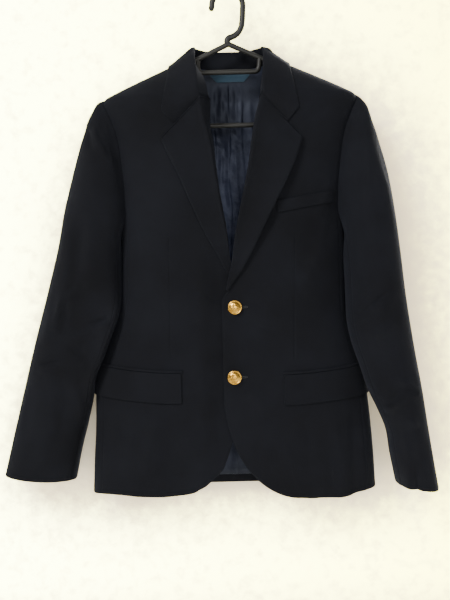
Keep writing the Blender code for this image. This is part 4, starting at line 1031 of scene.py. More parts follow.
def sleeve_section(side, along, theta):
    """Point of a plain sleeve; along is 0 at the armhole and 1 at the cuff, theta is degrees from the top."""
    rows = SLEEVE_ROWS[side]
    number = along * (len(rows) - 1)
    top_z, under_z, middle_y, front, back = (
        smooth(column(rows, SLEEVE_COLUMNS, name, key=1), number) for name in SLEEVE_COLUMNS)
    across, deep = np.cos(np.radians(theta)), np.sin(np.radians(theta))
    across, deep = signed_power(across, 2 / SLEEVE_POWER), signed_power(deep, 2 / SLEEVE_POWER)
    top_x, under_x = smooth(OUTER_EDGE[side], top_z), smooth(UNDER_EDGE[side], under_z)
    bow = CUFF_BOW[side] * fade(along, CUFF_START, 1.0) * (1 - across ** 2)
    x = (top_x + under_x) / 2 + across * (top_x - under_x) / 2
    z = (top_z + under_z) / 2 + across * (top_z - under_z) / 2 - bow
    y = middle_y - deep * np.where(deep > 0, front, back)
    y = y - smooth(INNER_FORWARD[side], under_z) * np.clip(-across, 0.0, 1.0) ** 3
    return np.stack((x, y, z), axis=-1)


CREASE_STRENGTH = 1.85  # the sleeves' folds rise this much more than their rows say
MOUTH_LIFT, MOUTH_WALL = 0.05, 0.7  # the sleeve's mouth: its rise over the body's surface, and its thickness
MOUTH_GROOVE, MOUTH_GROWS = (0.2, 1.0), (2.0, 9.0)  # its dip at the seam, and where its wall grows to full
SLEEVE_EASE = 0.4  # share of the sleeve over which it settles from the armhole into its own course
SLEEVE_SPLIT, SLEEVE_DIP = 0.25, 0.7  # half the angle between its two pieces, and their share of a seam's dip


def armhole_loop(side, theta):
    """Point of the armhole seam, where the sleeve settles on the body's dipped edge."""
    across, deep = np.cos(np.radians(theta)), np.sin(np.radians(theta))
    z = ARM_MIDDLE + ARM_HALF * across
    bite = np.abs(deep) ** ARM_POWER * np.where(deep > 0, -ARM_BITE["front"], ARM_BITE["back"])
    return place(side, side_run(z) + bite, z, MOUTH_LIFT)


def sleeve_point(side, along, theta):
    along, theta = matched(along, theta)
    plain = sleeve_section(side, along, theta)
    pull = armhole_loop(side, theta) - sleeve_section(side, np.zeros_like(along), theta)
    return plain + pull * (1 - fade(along, 0.0, SLEEVE_EASE))[..., None]


def sleeve_rise(side, points, theta):
    """How far the sleeve's folds lift it; each fold fades out as the sleeve turns away."""
    facing = np.clip(np.abs(np.sin(np.radians(theta))) * 1.5, 0, 1)
    front = np.sin(np.radians(theta)) > 0
    return fold_rise(SLEEVE_FOLDS[side], points[..., 0], points[..., 2], front) * facing * CREASE_STRENGTH


def sleeve_face(side, along, theta, out=0.0):
    """Point of the folded sleeve, moved out along its normal."""
    step, turn = 0.004, 1.0
    before, after = np.maximum(along - step, 0.0), np.minimum(along + step, 1.0)
    down = sleeve_point(side, after, theta) - sleeve_point(side, before, theta)
    round_it = sleeve_point(side, along, theta + turn) - sleeve_point(side, along, theta - turn)
    normal = -side * unit(np.cross(down, round_it))
    plain = sleeve_point(side, along, theta)
    return plain + normal * (out + sleeve_rise(side, plain, theta))[..., None]


def build_sleeve(side, wool, satin):
    front_seam, back_seam = SLEEVE_SEAMS
    head, cuff = crowded(0.0, 0.3, 64), crowded(0.9, 1.0, 26)
    along = np.concatenate((head[:-1], np.linspace(0.3, 0.9, 165)[:-1], cuff))
    for name, start, end, count in (("top_sleeve", back_seam - 360.0, front_seam, 72),
                                    ("under_sleeve", front_seam, back_seam, 32)):
        turns = crowded(start + SLEEVE_SPLIT, end - SLEEVE_SPLIT, count)
        along_grid, theta = matched(along[:, None], turns[None, :])
        flat = sleeve_face(side, along_grid, theta)
        run, drop = runs_over(flat)
        to_seam, to_cuff = np.minimum(run, run[:, -1:] - run), drop[-1:] - drop
        rounding = groove(to_cuff, *EDGE_GROOVE)
        wall = MOUTH_WALL + (WOOL - MOUTH_WALL) * fade(drop, *MOUTH_GROWS)
        dip = SLEEVE_DIP * groove(to_seam, *SEAM_GROOVE) + groove(drop, *MOUTH_GROOVE)
        outer = sleeve_face(side, along_grid, theta, -dip - rounding)
        inner = sleeve_face(side, along_grid, theta, -wall + INNER_ROUND * rounding)
        lined = to_cuff[:-1, :-1] >= TURN_UP["sleeve"]
        add_wall(*sided(side, name, name), outer, inner, flat, (wool, satin), lined, SEAM_BULGE)


# ---------------------------------------------------------------- lapels and collar

# A lapel's turn into the neck, in steps from the roll line: how far inward it lies, and its height.
ROLL_LIP = ((0, 0.0, 6.6), (1, 1.5, 4.6), (2, 2.3, 0.5), (3, 2.4, -5.0), (4, 2.0, -11.0))
LEAF_OUT, ROLL_OUT, ROLL_REACH = 2.8, 4.0, 9.0  # height of the flat lapel, what its roll adds, and its reach
LAPEL_LIFT = {LEFT: 3.4, RIGHT: 8.5}  # how far each lapel's edge springs off the chest
# How far the neck's inner facing reaches inward past each roll line, by height.
FACING_STRIP = {
    LEFT: ((-300, 0.0), (-240, 3.0), (-205, 6.0), (-171, 12.5), (-160, 13.0)),
    RIGHT: ((-300, 0), (-160, 0)),
}
FOLD_BULGE, SMALL_BULGE = 0.35, 0.05  # how far a folded edge swells: lapels and collar, and small pieces


def leaf_out(distance, bulge):
    """Height of a lapel or leaf over the chest at a distance from the roll line."""
    return LEAF_OUT + bulge * ROLL_OUT * np.exp(-distance / ROLL_REACH)


def lapel_section(side, roll_z, edge_x, edge_z, lift, bulge, deep, shares, lips, curl=1.5):
    """Visible points of one lapel section, from its outer edge over the roll line into the neck."""
    roll_x = float(smooth(ROLL[side], roll_z))
    width = math.hypot(edge_x - roll_x, edge_z - roll_z)
    x, z = roll_x + shares * (edge_x - roll_x), roll_z + shares * (edge_z - roll_z)
    sink = underlap_sink(side, x, z)
    leaf = chest_point(x, z, leaf_out(shares * width, bulge) + lift * shares ** curl - sink)
    at = chest_point(roll_x, roll_z, 0.0)
    normal = unit(chest_point(roll_x, roll_z, 1.0) - at)
    inward = smooth([(row[0], row[1]) for row in ROLL_LIP], lips)
    out = smooth([(row[0], row[2]) for row in ROLL_LIP], lips)
    rise = np.where(out > 0, LEAF_OUT + bulge * (out - LEAF_OUT), out * deep)
    rise = rise - float(underlap_sink(side, np.array(roll_x), roll_z))
    strip = float(smooth(FACING_STRIP[side], roll_z)) * (np.clip(lips - 0.6, 0.0, None) / 3.4) ** 1.1
    shift = inward * max(bulge, 0.35) + strip
    lip = at + normal * rise[:, None] - np.array([1.0, 0.0, 0.0]) * (side * shift)[:, None]
    return np.concatenate((leaf, lip))


def notch_share(side):
    """Share of the lapel's top line, from the roll line out, that the collar is sewn to."""
    roll_z, tip_x, tip_z = LAPEL_ROWS[side][0]
    roll_x = float(smooth(ROLL[side], roll_z))
    notch_x, notch_z = NOTCH
    return math.hypot(side * notch_x - roll_x, notch_z - roll_z) / math.hypot(tip_x - roll_x, tip_z - roll_z)


def lapel_face(side):
    """Visible points of a lapel, and which of its columns lie past the notch."""
    rows = LAPEL_ROWS[side]
    number = crowded(0.0, len(rows) - 1.0, 90)
    values = [smooth(column(rows, LAPEL_COLUMNS, name, key=1), number) for name in LAPEL_COLUMNS]
    shares = crowded(1.0, 0.0, 40)[:-6]
    shares = shares / shares[0]
    lips = np.linspace(0.0, 4.0, 14)
    grid = []
    for place_on, roll_z, edge_x, edge_z in zip(number, *values):
        share = place_on / (len(rows) - 1)
        lift = LAPEL_LIFT[side] * math.sin(math.pi * min(1.0, 0.10 + share * 0.95)) ** 0.8
        bulge = 1.0 - (0.75 * share ** 4 if side == RIGHT else 0.95 * float(fade(-roll_z, 345.0, 400.0)))
        deep = 1.0 - 0.85 * float(fade(-roll_z, 330.0, 385.0))
        curl = 1.5 + 3.5 * (1 - float(fade(share, 0.0, 0.12)))
        grid.append(lapel_section(side, roll_z, edge_x, edge_z, lift, bulge, deep, shares, lips, curl))
    grid = np.array(grid)
    grid[0] -= np.array([0.0, 0.0, 0.1])
    past_notch = np.concatenate((shares > notch_share(side), np.zeros(len(lips), bool)))
    return (grid[:, ::-1], past_notch[::-1]) if side == RIGHT else (grid, past_notch)


def grid_distances(face):
    """Distance of each grid point from its four edges: first and last row, first and last column."""
    u, v = runs_over(face)
    return v, v[-1:] - v, u, u[:, -1:] - u


def folded_wall(name, face, thickness, rounding, materials, lined=0, bulge=FOLD_BULGE):
    """A wall behind a grid of visible points, sunk by its rounding at folded edges."""
    normal = face_normal(face)
    outer = face - normal * rounding[..., None]
    inner = face - normal * (thickness - INNER_ROUND * rounding)[..., None]
    return wall_mesh(name, outer, inner, cloth_places(face), materials, lined, bulge)


def edges_rounded(face, uses, scale=1.0):
    """Rounding of a grid's used edges: first and last row, first and last column."""
    rounding = np.zeros(face.shape[:2])
    for use, gap in zip(uses, grid_distances(face)):
        if use:
            rounding = np.maximum(rounding, scale * groove(gap / scale, *EDGE_GROOVE))
    return rounding


def build_lapel(side, wool, satin):
    face, past_notch = lapel_face(side)
    name, solid = sided(side, "lapel", "lapel")
    from_top = grid_distances(face)[0]
    top = np.where(past_notch[None, :], groove(from_top, *EDGE_GROOVE), groove(from_top, *GORGE_GROOVE))
    rounding = np.maximum(edges_rounded(face, (False, True, True, True)), top)
    add_panel(name, solid, folded_wall(solid, face, WOOL, rounding, (wool, satin)), face)


def body_gap(points):
    """Distance of points from the body's plain surface, carried on upward past the neck."""
    x, y, z = points[..., 0], points[..., 1], points[..., 2]
    above = np.maximum(z - NECK_HEIGHT, 0.0)
    half = np.maximum(body("half_width", z) - above / SHOULDER_SLOPE, 1.0)
    depth = np.maximum(np.where(y < 0, body("front", z), body("back", z)) - above, 1.0)
    reach = (np.abs(x - body("lean", z)) / half) ** BODY_POWER + (np.abs(y) / depth) ** BODY_POWER
    return reach ** (1 / BODY_POWER) - 1.0


def push_clear(points, gap):
    """Points moved out where they lie closer to the body than the gap."""
    step = 0.05
    for _ in range(8):
        level = body_gap(points)
        slope = np.stack([(body_gap(points + step * axis) - level) / step for axis in np.eye(3)], axis=-1)
        size = np.linalg.norm(slope, axis=-1)
        points = points + (slope / size[..., None]) * np.maximum(gap - level / size, 0.0)[..., None]
    return points


COLLAR_SHARES = (1.0, 0.8, 0.6, 0.4, 0.22, 0.08)
COLLAR_ROLL = (0.0, 0.9, 1.5, 1.9, 2.2, 2.1)  # how far the leaf swells over the crest's fold, at each share
STAND_SHARES = (0.0, 0.18, 0.5, 1.0)


def collar_section(crest, edge, foot):
    """Visible points of one collar section: leaf edge, over the crest, down to the stand's foot."""
    leaf = crest + np.array(COLLAR_SHARES)[:, None] * (edge - crest)
    along = unit(edge - crest)
    swell = unit(np.array([0.0, 0.0, 1.0]) - along * along[2])
    leaf = leaf + swell * np.array(COLLAR_ROLL)[:, None]
    leaf[:-1] = push_clear(leaf[:-1], LEAF_GAP)
    return np.concatenate((leaf, crest + np.array(STAND_SHARES)[:, None] * (foot - crest)))


def gorge_section(side):
    """The collar's end: the same curve as the lapel's top, as far as the notch."""
    roll_z, tip_x, tip_z = LAPEL_ROWS[side][0]
    lips = np.array([0.0, 1.0, 2.0, 4.0])
    shares = np.array(COLLAR_SHARES) * notch_share(side)
    return lapel_section(side, roll_z, tip_x, tip_z, 0.0, 1.0, 1.0, shares, lips)


def collar_knots(side):
    """Crest, leaf edge and foot of each section of one half, gorge to back centre, for the viewer's right."""
    knots = []
    for row in COLLAR_FRONT_ROWS:
        knots.append((row[:3], chest_point(row[3], row[4], LEAF_GAP), row[5:]))
    for turn in NECK_TURNS:
        across, back = math.cos(math.radians(turn)), math.sin(math.radians(turn))
        x, z = NECK_HALF * across, NECK_HEIGHT - NECK_DIP * back
        foot = back_point(x, z) - np.array([2.0 * across, 2.0 * back, -3 * SEAM])
        crest = (CREST_SIDE[side] * across ** 0.9, CREST_Y + (CREST_BACK_Y - CREST_Y) * back,
                 CREST_Z[side] + (CREST_BACK_Z - CREST_Z[side]) * back ** 0.6)
        edge_x = LEAF_SIDE * across ** 0.9
        edge_z = NECK_HEIGHT - SHOULDER_SLOPE * (LEAF_SIDE - NECK_HALF) - LEAF_BACK_DROP * back
        knots.append((crest, back_point(edge_x, edge_z, LEAF_GAP), foot))
    knots = np.array(knots)
    if side == LEFT:
        knots[:, 2, 0] -= smooth(LEFT_STAND, np.arange(len(knots)))
    return knots


def collar_half(side):
    """Visible points of one half of the collar, from its gorge to the back centre."""
    knots = collar_knots(side)
    number = np.concatenate((crowded(0.0, 1.0, 10)[:-1], np.linspace(1.0, len(knots) - 1.0, 60)))
    crest, edge, foot = (curve_through(knots[:, part], range(len(knots)), number) for part in range(3))
    turn = np.array([side, 1.0, 1.0])
    sections = [gorge_section(side) * turn] + [collar_section(*parts) for parts in zip(crest, edge, foot)]
    fine = []
    for section in sections:
        lengths = lengths_along(section)
        fine.append(curve_through(section, lengths, crowded(0.0, lengths[-1], 44)))
    return np.array(fine) * turn


def collar_face():
    """Visible points of the collar, from one gorge round the neck to the other."""
    return np.concatenate((collar_half(RIGHT), collar_half(LEFT)[-2::-1]))


def build_collar(wool):
    face = collar_face()
    first, last = grid_distances(face)[:2]
    gorge = np.maximum(groove(first, *GORGE_GROOVE), groove(last, *GORGE_GROOVE))
    rounding = np.maximum(edges_rounded(face, (False, False, True, False)), gorge)
    add_panel("top_collar", "collar", folded_wall("collar", face, DOUBLE, rounding, (wool, wool)), face)


# ---------------------------------------------------------------- pockets

FLAP_BEND = 1.3 / 0.75  # how late the pocket's line bends up toward the side
FLAP_LIFT, FLAP_SPRING = 2.1, 0.7  # height of a flap over the front, and what it gains toward its foot
JET_FOOT, JET_LIFT, JET_SWELL, JET_WALL = 0.3, 1.3, 0.5, 1.1
WELT_LIFT, WELT_WALL = 2.0, 1.5
ALL_EDGES, SMALL_EDGE = (True, True, True, True), 0.5  # the pockets' pieces take this share of the rounding


def flap_line(side, count):
    """Run and height of the top of a flap, from its front end past the side line."""
    front_x, front_z, side_z = FLAP_TOP[side]
    start = float(run_at_x(side, np.array(front_x), np.array(front_z)))
    end = float(side_run(np.array(side_z))) + FLAP_OVERRUN
    run = crowded(start, end, count)
    share = (run - start) / (end - start)
    return run, front_z + (side_z - front_z) * share ** FLAP_BEND


def build_flap(side, wool, satin, jet):
    run, top = flap_line(side, 90)
    down = crowded(0.0, 1.0, 34)[:, None]
    from_end = np.minimum(run - run[0], run[-1] - run)
    corner = FLAP_CORNER * (1 - np.sqrt(1 - np.clip(1 - from_end / FLAP_CORNER, 0, 1) ** 2))
    z = top[None, :] - (FLAP_DROP - corner[None, :]) * down
    lift = FLAP_LIFT + FLAP_SPRING * down ** 2 * np.ones_like(z)
    face = outward_grid(place(side, run[None, :], z, lift))
    rounding = edges_rounded(face, (False, True, True, True), SMALL_EDGE)
    name, solid = sided(side, "pocket_flap", "flap")
    mesh = folded_wall(solid, face, FLAP_WALL, rounding, (wool, satin), 1, 2 * SMALL_BULGE)
    add_panel(name, solid, mesh, face)


def outward_grid(face):
    """The grid turned, if need be, so that its normal points away from the blazer's middle."""
    away = face * np.array([1.0, 1.0, 0.0])
    return face[:, ::-1] if (face_normal(face) * away).sum() < 0 else face


def build_jet(side, wool):
    run, top = flap_line(side, 70)
    run = np.concatenate(([run[0] - JET_OVERRUN], run[1:]))
    turn = crowded(0.0, 1.0, 9)[:, None]
    z = top[None, :] + JET_FOOT + JET_HEIGHT * (1 - turn)
    face = outward_grid(place(side, run[None, :], z, JET_LIFT + JET_SWELL * np.sin(math.pi * turn)))
    rounding = edges_rounded(face, ALL_EDGES, SMALL_EDGE)
    name, solid = sided(side, "pocket_jet", "jet")
    mesh = folded_wall(solid, face, JET_WALL, rounding, (wool, wool), 0, SMALL_BULGE)
    return make_object(name, mesh, [solid])


def build_welt(wool):
    (x0, foot0, top0), (x1, foot1, top1) = WELT_ENDS
    share, turn = crowded(0.0, 1.0, 44), crowded(0.0, 1.0, 16)[:, None]
    x = x0 + (x1 - x0) * share
    foot, top = foot0 + (foot1 - foot0) * share, top0 + (top1 - top0) * share
    z = top[None, :] + (foot - top)[None, :] * turn
    face = outward_grid(chest_point(x[None, :], z, WELT_LIFT))
    rounding = edges_rounded(face, ALL_EDGES, SMALL_EDGE)
    mesh = folded_wall("welt", face, WELT_WALL, rounding, (wool, wool), 0, SMALL_BULGE)
    add_panel("breast_welt", "welt", mesh, face)


# ---------------------------------------------------------------- lining and label

# Folds of the back lining: x at the neck and at the hem, width to the left, rise, width of the crisp right.
LINING_FOLDS = (
    (-2.0, -3.5, 8.0, 3.4, 0.7), (18.5, 19.0, 5.0, 2.2, 1.0), (-12.0, -17.0, 4.5, 1.3, 2.5),
    (-24.0, -28.0, 5.5, 2.0, 2.0), (9.0, 9.0, 3.0, -1.0, 2.2), (31.0, 36.0, 7.0, 1.6, 3.0),
    (-36.0, -42.0, 5.0, 1.4, 2.5), (44.0, 60.0, 8.0, 1.4, 4.0), (-62.0, -90.0, 12.0, 2.0, 9.0),
    (66.0, 94.0, 12.0, 2.0, 9.0),
)
FOLD_START, WANDER_START = (0.04, 0.075), (0.04, 0.2)  # shares of the length over which the folds set in
WANDER, RUMPLE, RUMPLE_CALM = 1.8, 0.9, (12.0, 26.0)  # the folds' sway, the rumples, where these calm down
LINING_START = NECK_HEIGHT - NECK_DIP - 2.6
LINING_SHARE = 0.80  # of the body's half width
LINING_NECK, LINING_SPREAD = 44.0, 1.5  # its half width at the neck, and how fast it widens below
LABEL_GAP = 0.5


def lining_rise(x, z):
    """How far the lining's folds lift it; each fold sways and swells in its own rhythm."""
    rise = np.zeros_like(x)
    share = (z - NECK_HEIGHT) / (LINING_HEM - NECK_HEIGHT)
    for number, (neck_x, hem_x, width, height, crisp) in enumerate(LINING_FOLDS):
        wander = WANDER * np.sin(z / (19.0 + 2.3 * number) + 1.7 * number)
        pulse = 0.62 + 0.38 * np.sin(z / (13.0 + 1.9 * number) + 2.3 * number)
        offset = x - (neck_x + (hem_x - neck_x) * share + wander * fade(share, *WANDER_START))
        spread = np.where(offset < 0, width, crisp)
        rise += height * pulse * np.exp(-(offset / spread) ** 2) * fade(share, *FOLD_START)
    rumple = RUMPLE * np.sin(x / 3.4 + z / 6.3 + 2.0 * np.sin(z / 17.0)) * np.sin(z / 8.7 - x / 9.0)
    return rise + rumple * fade(share, *FOLD_START) * (1 - 0.6 * fade(x, *RUMPLE_CALM))


def build_lining(satin):
    share = np.linspace(-1.0, 1.0, 230)[None, :]
    down = np.concatenate((crowded(0.0, 0.06, 14)[:-1], np.linspace(0.06, 0.45, 80)[:-1],
                           np.linspace(0.45, 1.0, 40)))[:, None]
    z = LINING_START + (LINING_HEM - LINING_START) * down * np.ones_like(share)
    below_neck = (NECK_HEIGHT + 12.0 - z).clip(0)
    half = np.minimum(body("half_width", z) * LINING_SHARE, LINING_NECK + LINING_SPREAD * below_neck)
    x = body("lean", z) + half * share
    out = -WOOL - LINING_EASE - lining_rise(x, z)
    face, backing = back_point(x, z, out - SATIN), back_point(x, z, out)
    add_wall("satin_back_lining", "back_lining", face, backing, face, (satin, satin), 0, 0.2, "satin")


def build_label(tape):
    z = crowded(LABEL["top"], LABEL["bottom"], 12)[:, None]
    cut = np.clip(LABEL["bottom"] + LABEL["cut"] - z, 0.0, None)
    left, right = LABEL["left"] + cut, LABEL["right"] - cut
    x = left + (right - left) * crowded(0.0, 1.0, 40)[None, :]
    out = -WOOL - LINING_EASE - SATIN - LABEL_GAP
    face, backing = back_point(x, z, out - LABEL["thickness"]), back_point(x, z, out)
    add_wall("neck_label", "label", face, backing, face, (tape, tape), 0, 0.1, "label_cloth")


# ---------------------------------------------------------------- buttons

# A button's turned profile: radius and height over the cloth, with a sunk ring inside its rim.
BUTTON_PROFILE = ((0.0, 0.3), (7.6, 0.3), (9.3, 1.2), (10.1, 2.2), (10.3, 2.9), (10.0, 3.6), (9.3, 3.95),
                  (8.7, 3.75), (8.3, 3.6), (7.7, 4.0), (6.8, 4.6), (5.4, 5.2), (3.6, 5.8), (1.8, 6.1),
                  (0.0, 6.2))


BUTTON_SIT = 0.4  # height of a button's back over the cloth
DOME_START = 3.0  # the height above which a button is worked
ROPE_PLACE, ROPE_RISE, ROPE_TURNS = (9.35, 0.4), 0.22, 24  # the worked rim: radius and width, relief, turns
RAY_PLACE, RAY_RISE, RAY_COUNT = (4.2, 1.7), 0.16, 12  # the same for the rays


def build_button(name, gold):
    count = 72
    turn = 2 * math.pi * np.arange(count) / count
    number = np.linspace(0.0, len(BUTTON_PROFILE) - 1.0, 71)[1:-1]
    radius, height = curve_through(BUTTON_PROFILE, range(len(BUTTON_PROFILE)), number).T[..., None]
    rope = groove(radius - ROPE_PLACE[0], ROPE_RISE, ROPE_PLACE[1]) * np.sin(ROPE_TURNS * turn + 4 * radius)
    rays = groove(radius - RAY_PLACE[0], RAY_RISE, RAY_PLACE[1]) * np.cos(RAY_COUNT * turn)
    out = height + (rope + rays) * (height > DOME_START)
    ring = np.stack((radius * np.cos(turn), -out, radius * np.sin(turn)), axis=-1)
    back, tip = ([[0.0, -BUTTON_PROFILE[end][1], 0.0]] for end in (0, -1))
    x, z = BUTTONS[name]
    points = np.concatenate((back, ring.reshape(-1, 3), tip)) + chest_point(x, z, BUTTON_SIT)
    last = 1 + (len(number) - 1) * count
    caps = [(0, 1 + (j + 1) % count, 1 + j) for j in range(count)]
    caps += [(last + j, last + (j + 1) % count, len(points) - 1) for j in range(count)]
    mesh = bpy.data.meshes.new(name)
    mesh.from_pydata((points * MM).tolist(), [], ring_faces(len(number) - 1, count, 1).tolist() + caps)
    mesh.materials.append(gold)
    mesh.shade_smooth()
    make_object("gilt_" + name, mesh, [name])


END_TURNS = (0.5, 1.0, 1.35, 1.52)  # of a bar's rounded end, in radians


def tube_mesh(name, path, radius, made_of, sides, closed=False):
    """A round bar of changing radius along a path of points, with rounded ends."""
    path = np.asarray(path, float)
    radius = np.broadcast_to(np.asarray(radius, float), (len(path),)).copy()
    if not closed:
        ends = []
        for point, inside, size in ((path[0], path[1], radius[0]), (path[-1], path[-2], radius[-1])):
            away = unit(point - inside)
            ends.append([(point + away * size * math.sin(t), size * math.cos(t)) for t in END_TURNS])
        first, last = ends
        path = np.concatenate(([p for p, _ in first[::-1]], path, [p for p, _ in last]))
        radius = np.concatenate(([r for _, r in first[::-1]], radius, [r for _, r in last]))
    if closed:
        along = unit(np.roll(path, -1, axis=0) - np.roll(path, 1, axis=0))
    else:
        along = unit(np.gradient(path, axis=0))
    guide = np.array([0.0, 1.0, 0.0]) if abs(along[:, 1]).max() < 0.9 else np.array([0.0, 0.0, 1.0])
    across = unit(np.cross(along, guide))
    third = np.cross(along, across)
    turn = 2 * math.pi * np.arange(sides) / sides
    rings = path[:, None] + radius[:, None, None] * (across[:, None] * np.cos(turn)[None, :, None]
                                                     + third[:, None] * np.sin(turn)[None, :, None])
    points = rings.reshape(-1, 3)
    total = len(points)
    faces = (ring_faces(len(path) if closed else len(path) - 1, sides) % total).tolist()
    if not closed:
        faces.append(list(range(sides - 1, -1, -1)))
        faces.append(list(range(total - sides, total)))
    mesh = bpy.data.meshes.new(name)
    mesh.from_pydata((points * MM).tolist(), [], faces)
    mesh.materials.append(made_of)
    face_outward(mesh)
    mesh.shade_smooth()
    return mesh


HOLE_LONG, HOLE_WIDE, HOLE_MIDDLE = 9.5, 1.1, 9.0  # half sizes of a buttonhole, and its middle
HOLE_SIT, THREAD, PURL, PURLS = 0.35, 0.5, 0.13, 34  # its height over the cloth, its thread, and its stitches


def build_buttonhole(name, thread):
    """The worked buttonhole under a button: a long loop of purl stitches that shows past the button."""
    x, z = BUTTONS[name]
    turn = np.linspace(0.0, 2 * math.pi, 160, endpoint=False)
    across = HOLE_MIDDLE + HOLE_LONG * signed_power(np.cos(turn), 0.5)
    up = HOLE_WIDE * signed_power(np.sin(turn), 0.7)
    path = chest_point(x + across, z + up, HOLE_SIT)
    hole = name.replace("button", "buttonhole")
    mesh = tube_mesh(hole, path, THREAD + PURL * np.sin(turn * PURLS), thread, 8, closed=True)
    make_object(hole, mesh, [])


# ---------------------------------------------------------------- hanger

ARC_STEPS = 10


def rounded(corners):
    """Points of a path through (x, z, radius) corners, each rounded by an arc."""
    points = [np.array(corners[0][:2], float)]
    for before, (x, z, radius), after in zip(corners, corners[1:], corners[2:]):
        corner = np.array([x, z], float)
        to_before, to_after = unit(np.array(before[:2]) - corner), unit(np.array(after[:2]) - corner)
        half = math.acos(np.clip(to_before @ to_after, -1, 1)) / 2
        reach = radius / math.tan(half)
        centre = corner + unit(to_before + to_after) * radius / math.sin(half)
        start, end = corner + to_before * reach - centre, corner + to_after * reach - centre
        sweep = math.pi - 2 * half
        for t in np.arange(ARC_STEPS + 1) / ARC_STEPS:
            turned = start * math.sin((1 - t) * sweep) + end * math.sin(t * sweep)
            points.append(centre + turned / math.sin(sweep))
    points.append(np.array(corners[-1][:2], float))
    return points


def in_plane(points):
    return np.array([(x, 0.0, z) for x, z in points])


# The hook below its crook, down to the loop's top, as x and height.
HOOK_NECK = ((22.9, -24.0), (22.4, -33.0), (21.6, -42.5), (19.8, -51.5), (16.0, -58.6), (10.6, -63.4),
             (5.0, -66.0), (0.9, -67.6), (-1.1, -70.2), (-1.3, -75.0))
HOOK_TIP = (-0.8, -22.2)  # the hook's open end: x beyond the crook's side, and height
HOOK_SWELL, SWELL_STEPS = 0.5, 14  # how much the stem thickens toward the loop, and over how many points
LOOP_ROUND = {"foot": 7.5, "side": 4.5, "top": 7.0}
LOOP_FOOT_IN = (0.6, 2.5)  # how far the loop's two foot corners lie inside its side corners
ARM_START, ARM_LEAD, ARM_OVER = 2.0, 4.0, 10.0  # the arms start inside the loop's corners, end past ARM_END
ARM_ROUND, BAR_ROUND = 12.0, 10.0


def arm_height(x):
    """Height of the arm's centre line under the shoulder seam."""
    return NECK_HEIGHT - SHOULDER_SLOPE * (abs(x) - NECK_HALF) - HANGER_FALL


def hanger_hook():
    """Centre line and radius of the hook, from its open end over the crook and down to the loop."""
    turn = math.pi * (1 - np.arange(41) / 40)
    crook_z = HOOK_BAR - HOOK_RADIUS
    crook = np.stack((HOOK_RADIUS * np.cos(turn), crook_z + HOOK_RADIUS * np.sin(turn)), axis=-1)
    lengths = lengths_along(HOOK_NECK)
    neck = curve_through(HOOK_NECK, lengths, np.linspace(0.0, lengths[-1], 48))
    path = np.concatenate(([(HOOK_TIP[0] - HOOK_RADIUS, HOOK_TIP[1])], crook, neck))
    radius = np.full(len(path), HOOK_BAR)
    radius[-SWELL_STEPS:] += HOOK_SWELL * fade(np.arange(SWELL_STEPS), 0, SWELL_STEPS - 1)
    return path, radius


def hanger_loop():
    x, z = LOOP_CORNER_X, arm_height(LOOP_CORNER_X)
    left_in, right_in = LOOP_FOOT_IN
    return rounded(((0.0, LOOP_BAR, 0), (left_in - x, LOOP_BAR, LOOP_ROUND["foot"]),
                    (-x, z, LOOP_ROUND["side"]), (0.0, LOOP_TOP, LOOP_ROUND["top"]),
                    (x, z, LOOP_ROUND["side"]), (x - right_in, LOOP_BAR, LOOP_ROUND["foot"]),
                    (0.0, LOOP_BAR, 0)))[:-1]


def hanger_arms():
    start = LOOP_CORNER_X - ARM_START
    lead, end = start + ARM_LEAD, ARM_END + ARM_OVER
    left = ((-lead, arm_height(lead), 0), (-end, arm_height(end), ARM_ROUND),
            (-BAR_END, BAR_HEIGHT, BAR_ROUND))
    right = [(-x, z, radius) for x, z, radius in left[::-1]]
    return [(-start, arm_height(start))] + rounded((*left, *right)) + [(start, arm_height(start))]


def build_hanger(plastic):
    bars = (("hook", "hanger_hook", *hanger_hook(), False),
            ("neck_loop", "hanger_loop", hanger_loop(), TUBE_RADIUS, True),
            ("shoulder_frame", "hanger_frame", hanger_arms(), TUBE_RADIUS, False))
    for name, solid, path, radius, closed in bars:
        make_object(name, tube_mesh(name, in_plane(path), radius, plastic, 24, closed), [solid])


# ---------------------------------------------------------------- stage

WALL_Y, WALL_HALF, FLOOR_Z = 47.0, 1500.0, -1000.0
WALL_CENTRE = (-15.0, -300.0)
FLOOR_HALF = 3000.0
# The wall's painted shade: how far it looks for what stands in the light, the openness where it's deepest,
# its curve.
SHADE_REACH, SHADE_FULL, SHADE_POWER = 0.14, 0.70, 2.4
# Colour of the painted shade, and the glow colours that paint the wall as lit, at its left and right.
SHADE_COLOUR, SHADE_AT = (1.4, 1.08, 0.53), 0.66
LIGHT_LEFT, LIGHT_RIGHT = (15.0, 15.4, 6.0), (11.5, 10.9, 1.8)


def vector_mix(tree, share, first, second):
    """Mix of two triples, each a value or a socket."""
    node = add_node(tree, "ShaderNodeMix", {"data_type": "VECTOR", "clamp_factor": True})
    tree.links.new(share, node.inputs[0])
    for slot, value in ((node.inputs[4], first), (node.inputs[5], second)):
        if isinstance(value, bpy.types.NodeSocket):
            tree.links.new(value, slot)
        else:
            slot.default_value = value
    return node.outputs[1]


TOWARD_WINDOW = {"X": -0.40, "Y": -0.80, "Z": 0.45}
GRAIN_SCALE, GRAIN_SPAN = 75.0, 0.22  # the shade's grain, and how far it moves the openness
WALL_FROM, WALL_TO = -0.36, 0.34  # x in metres between which the light on the wall changes


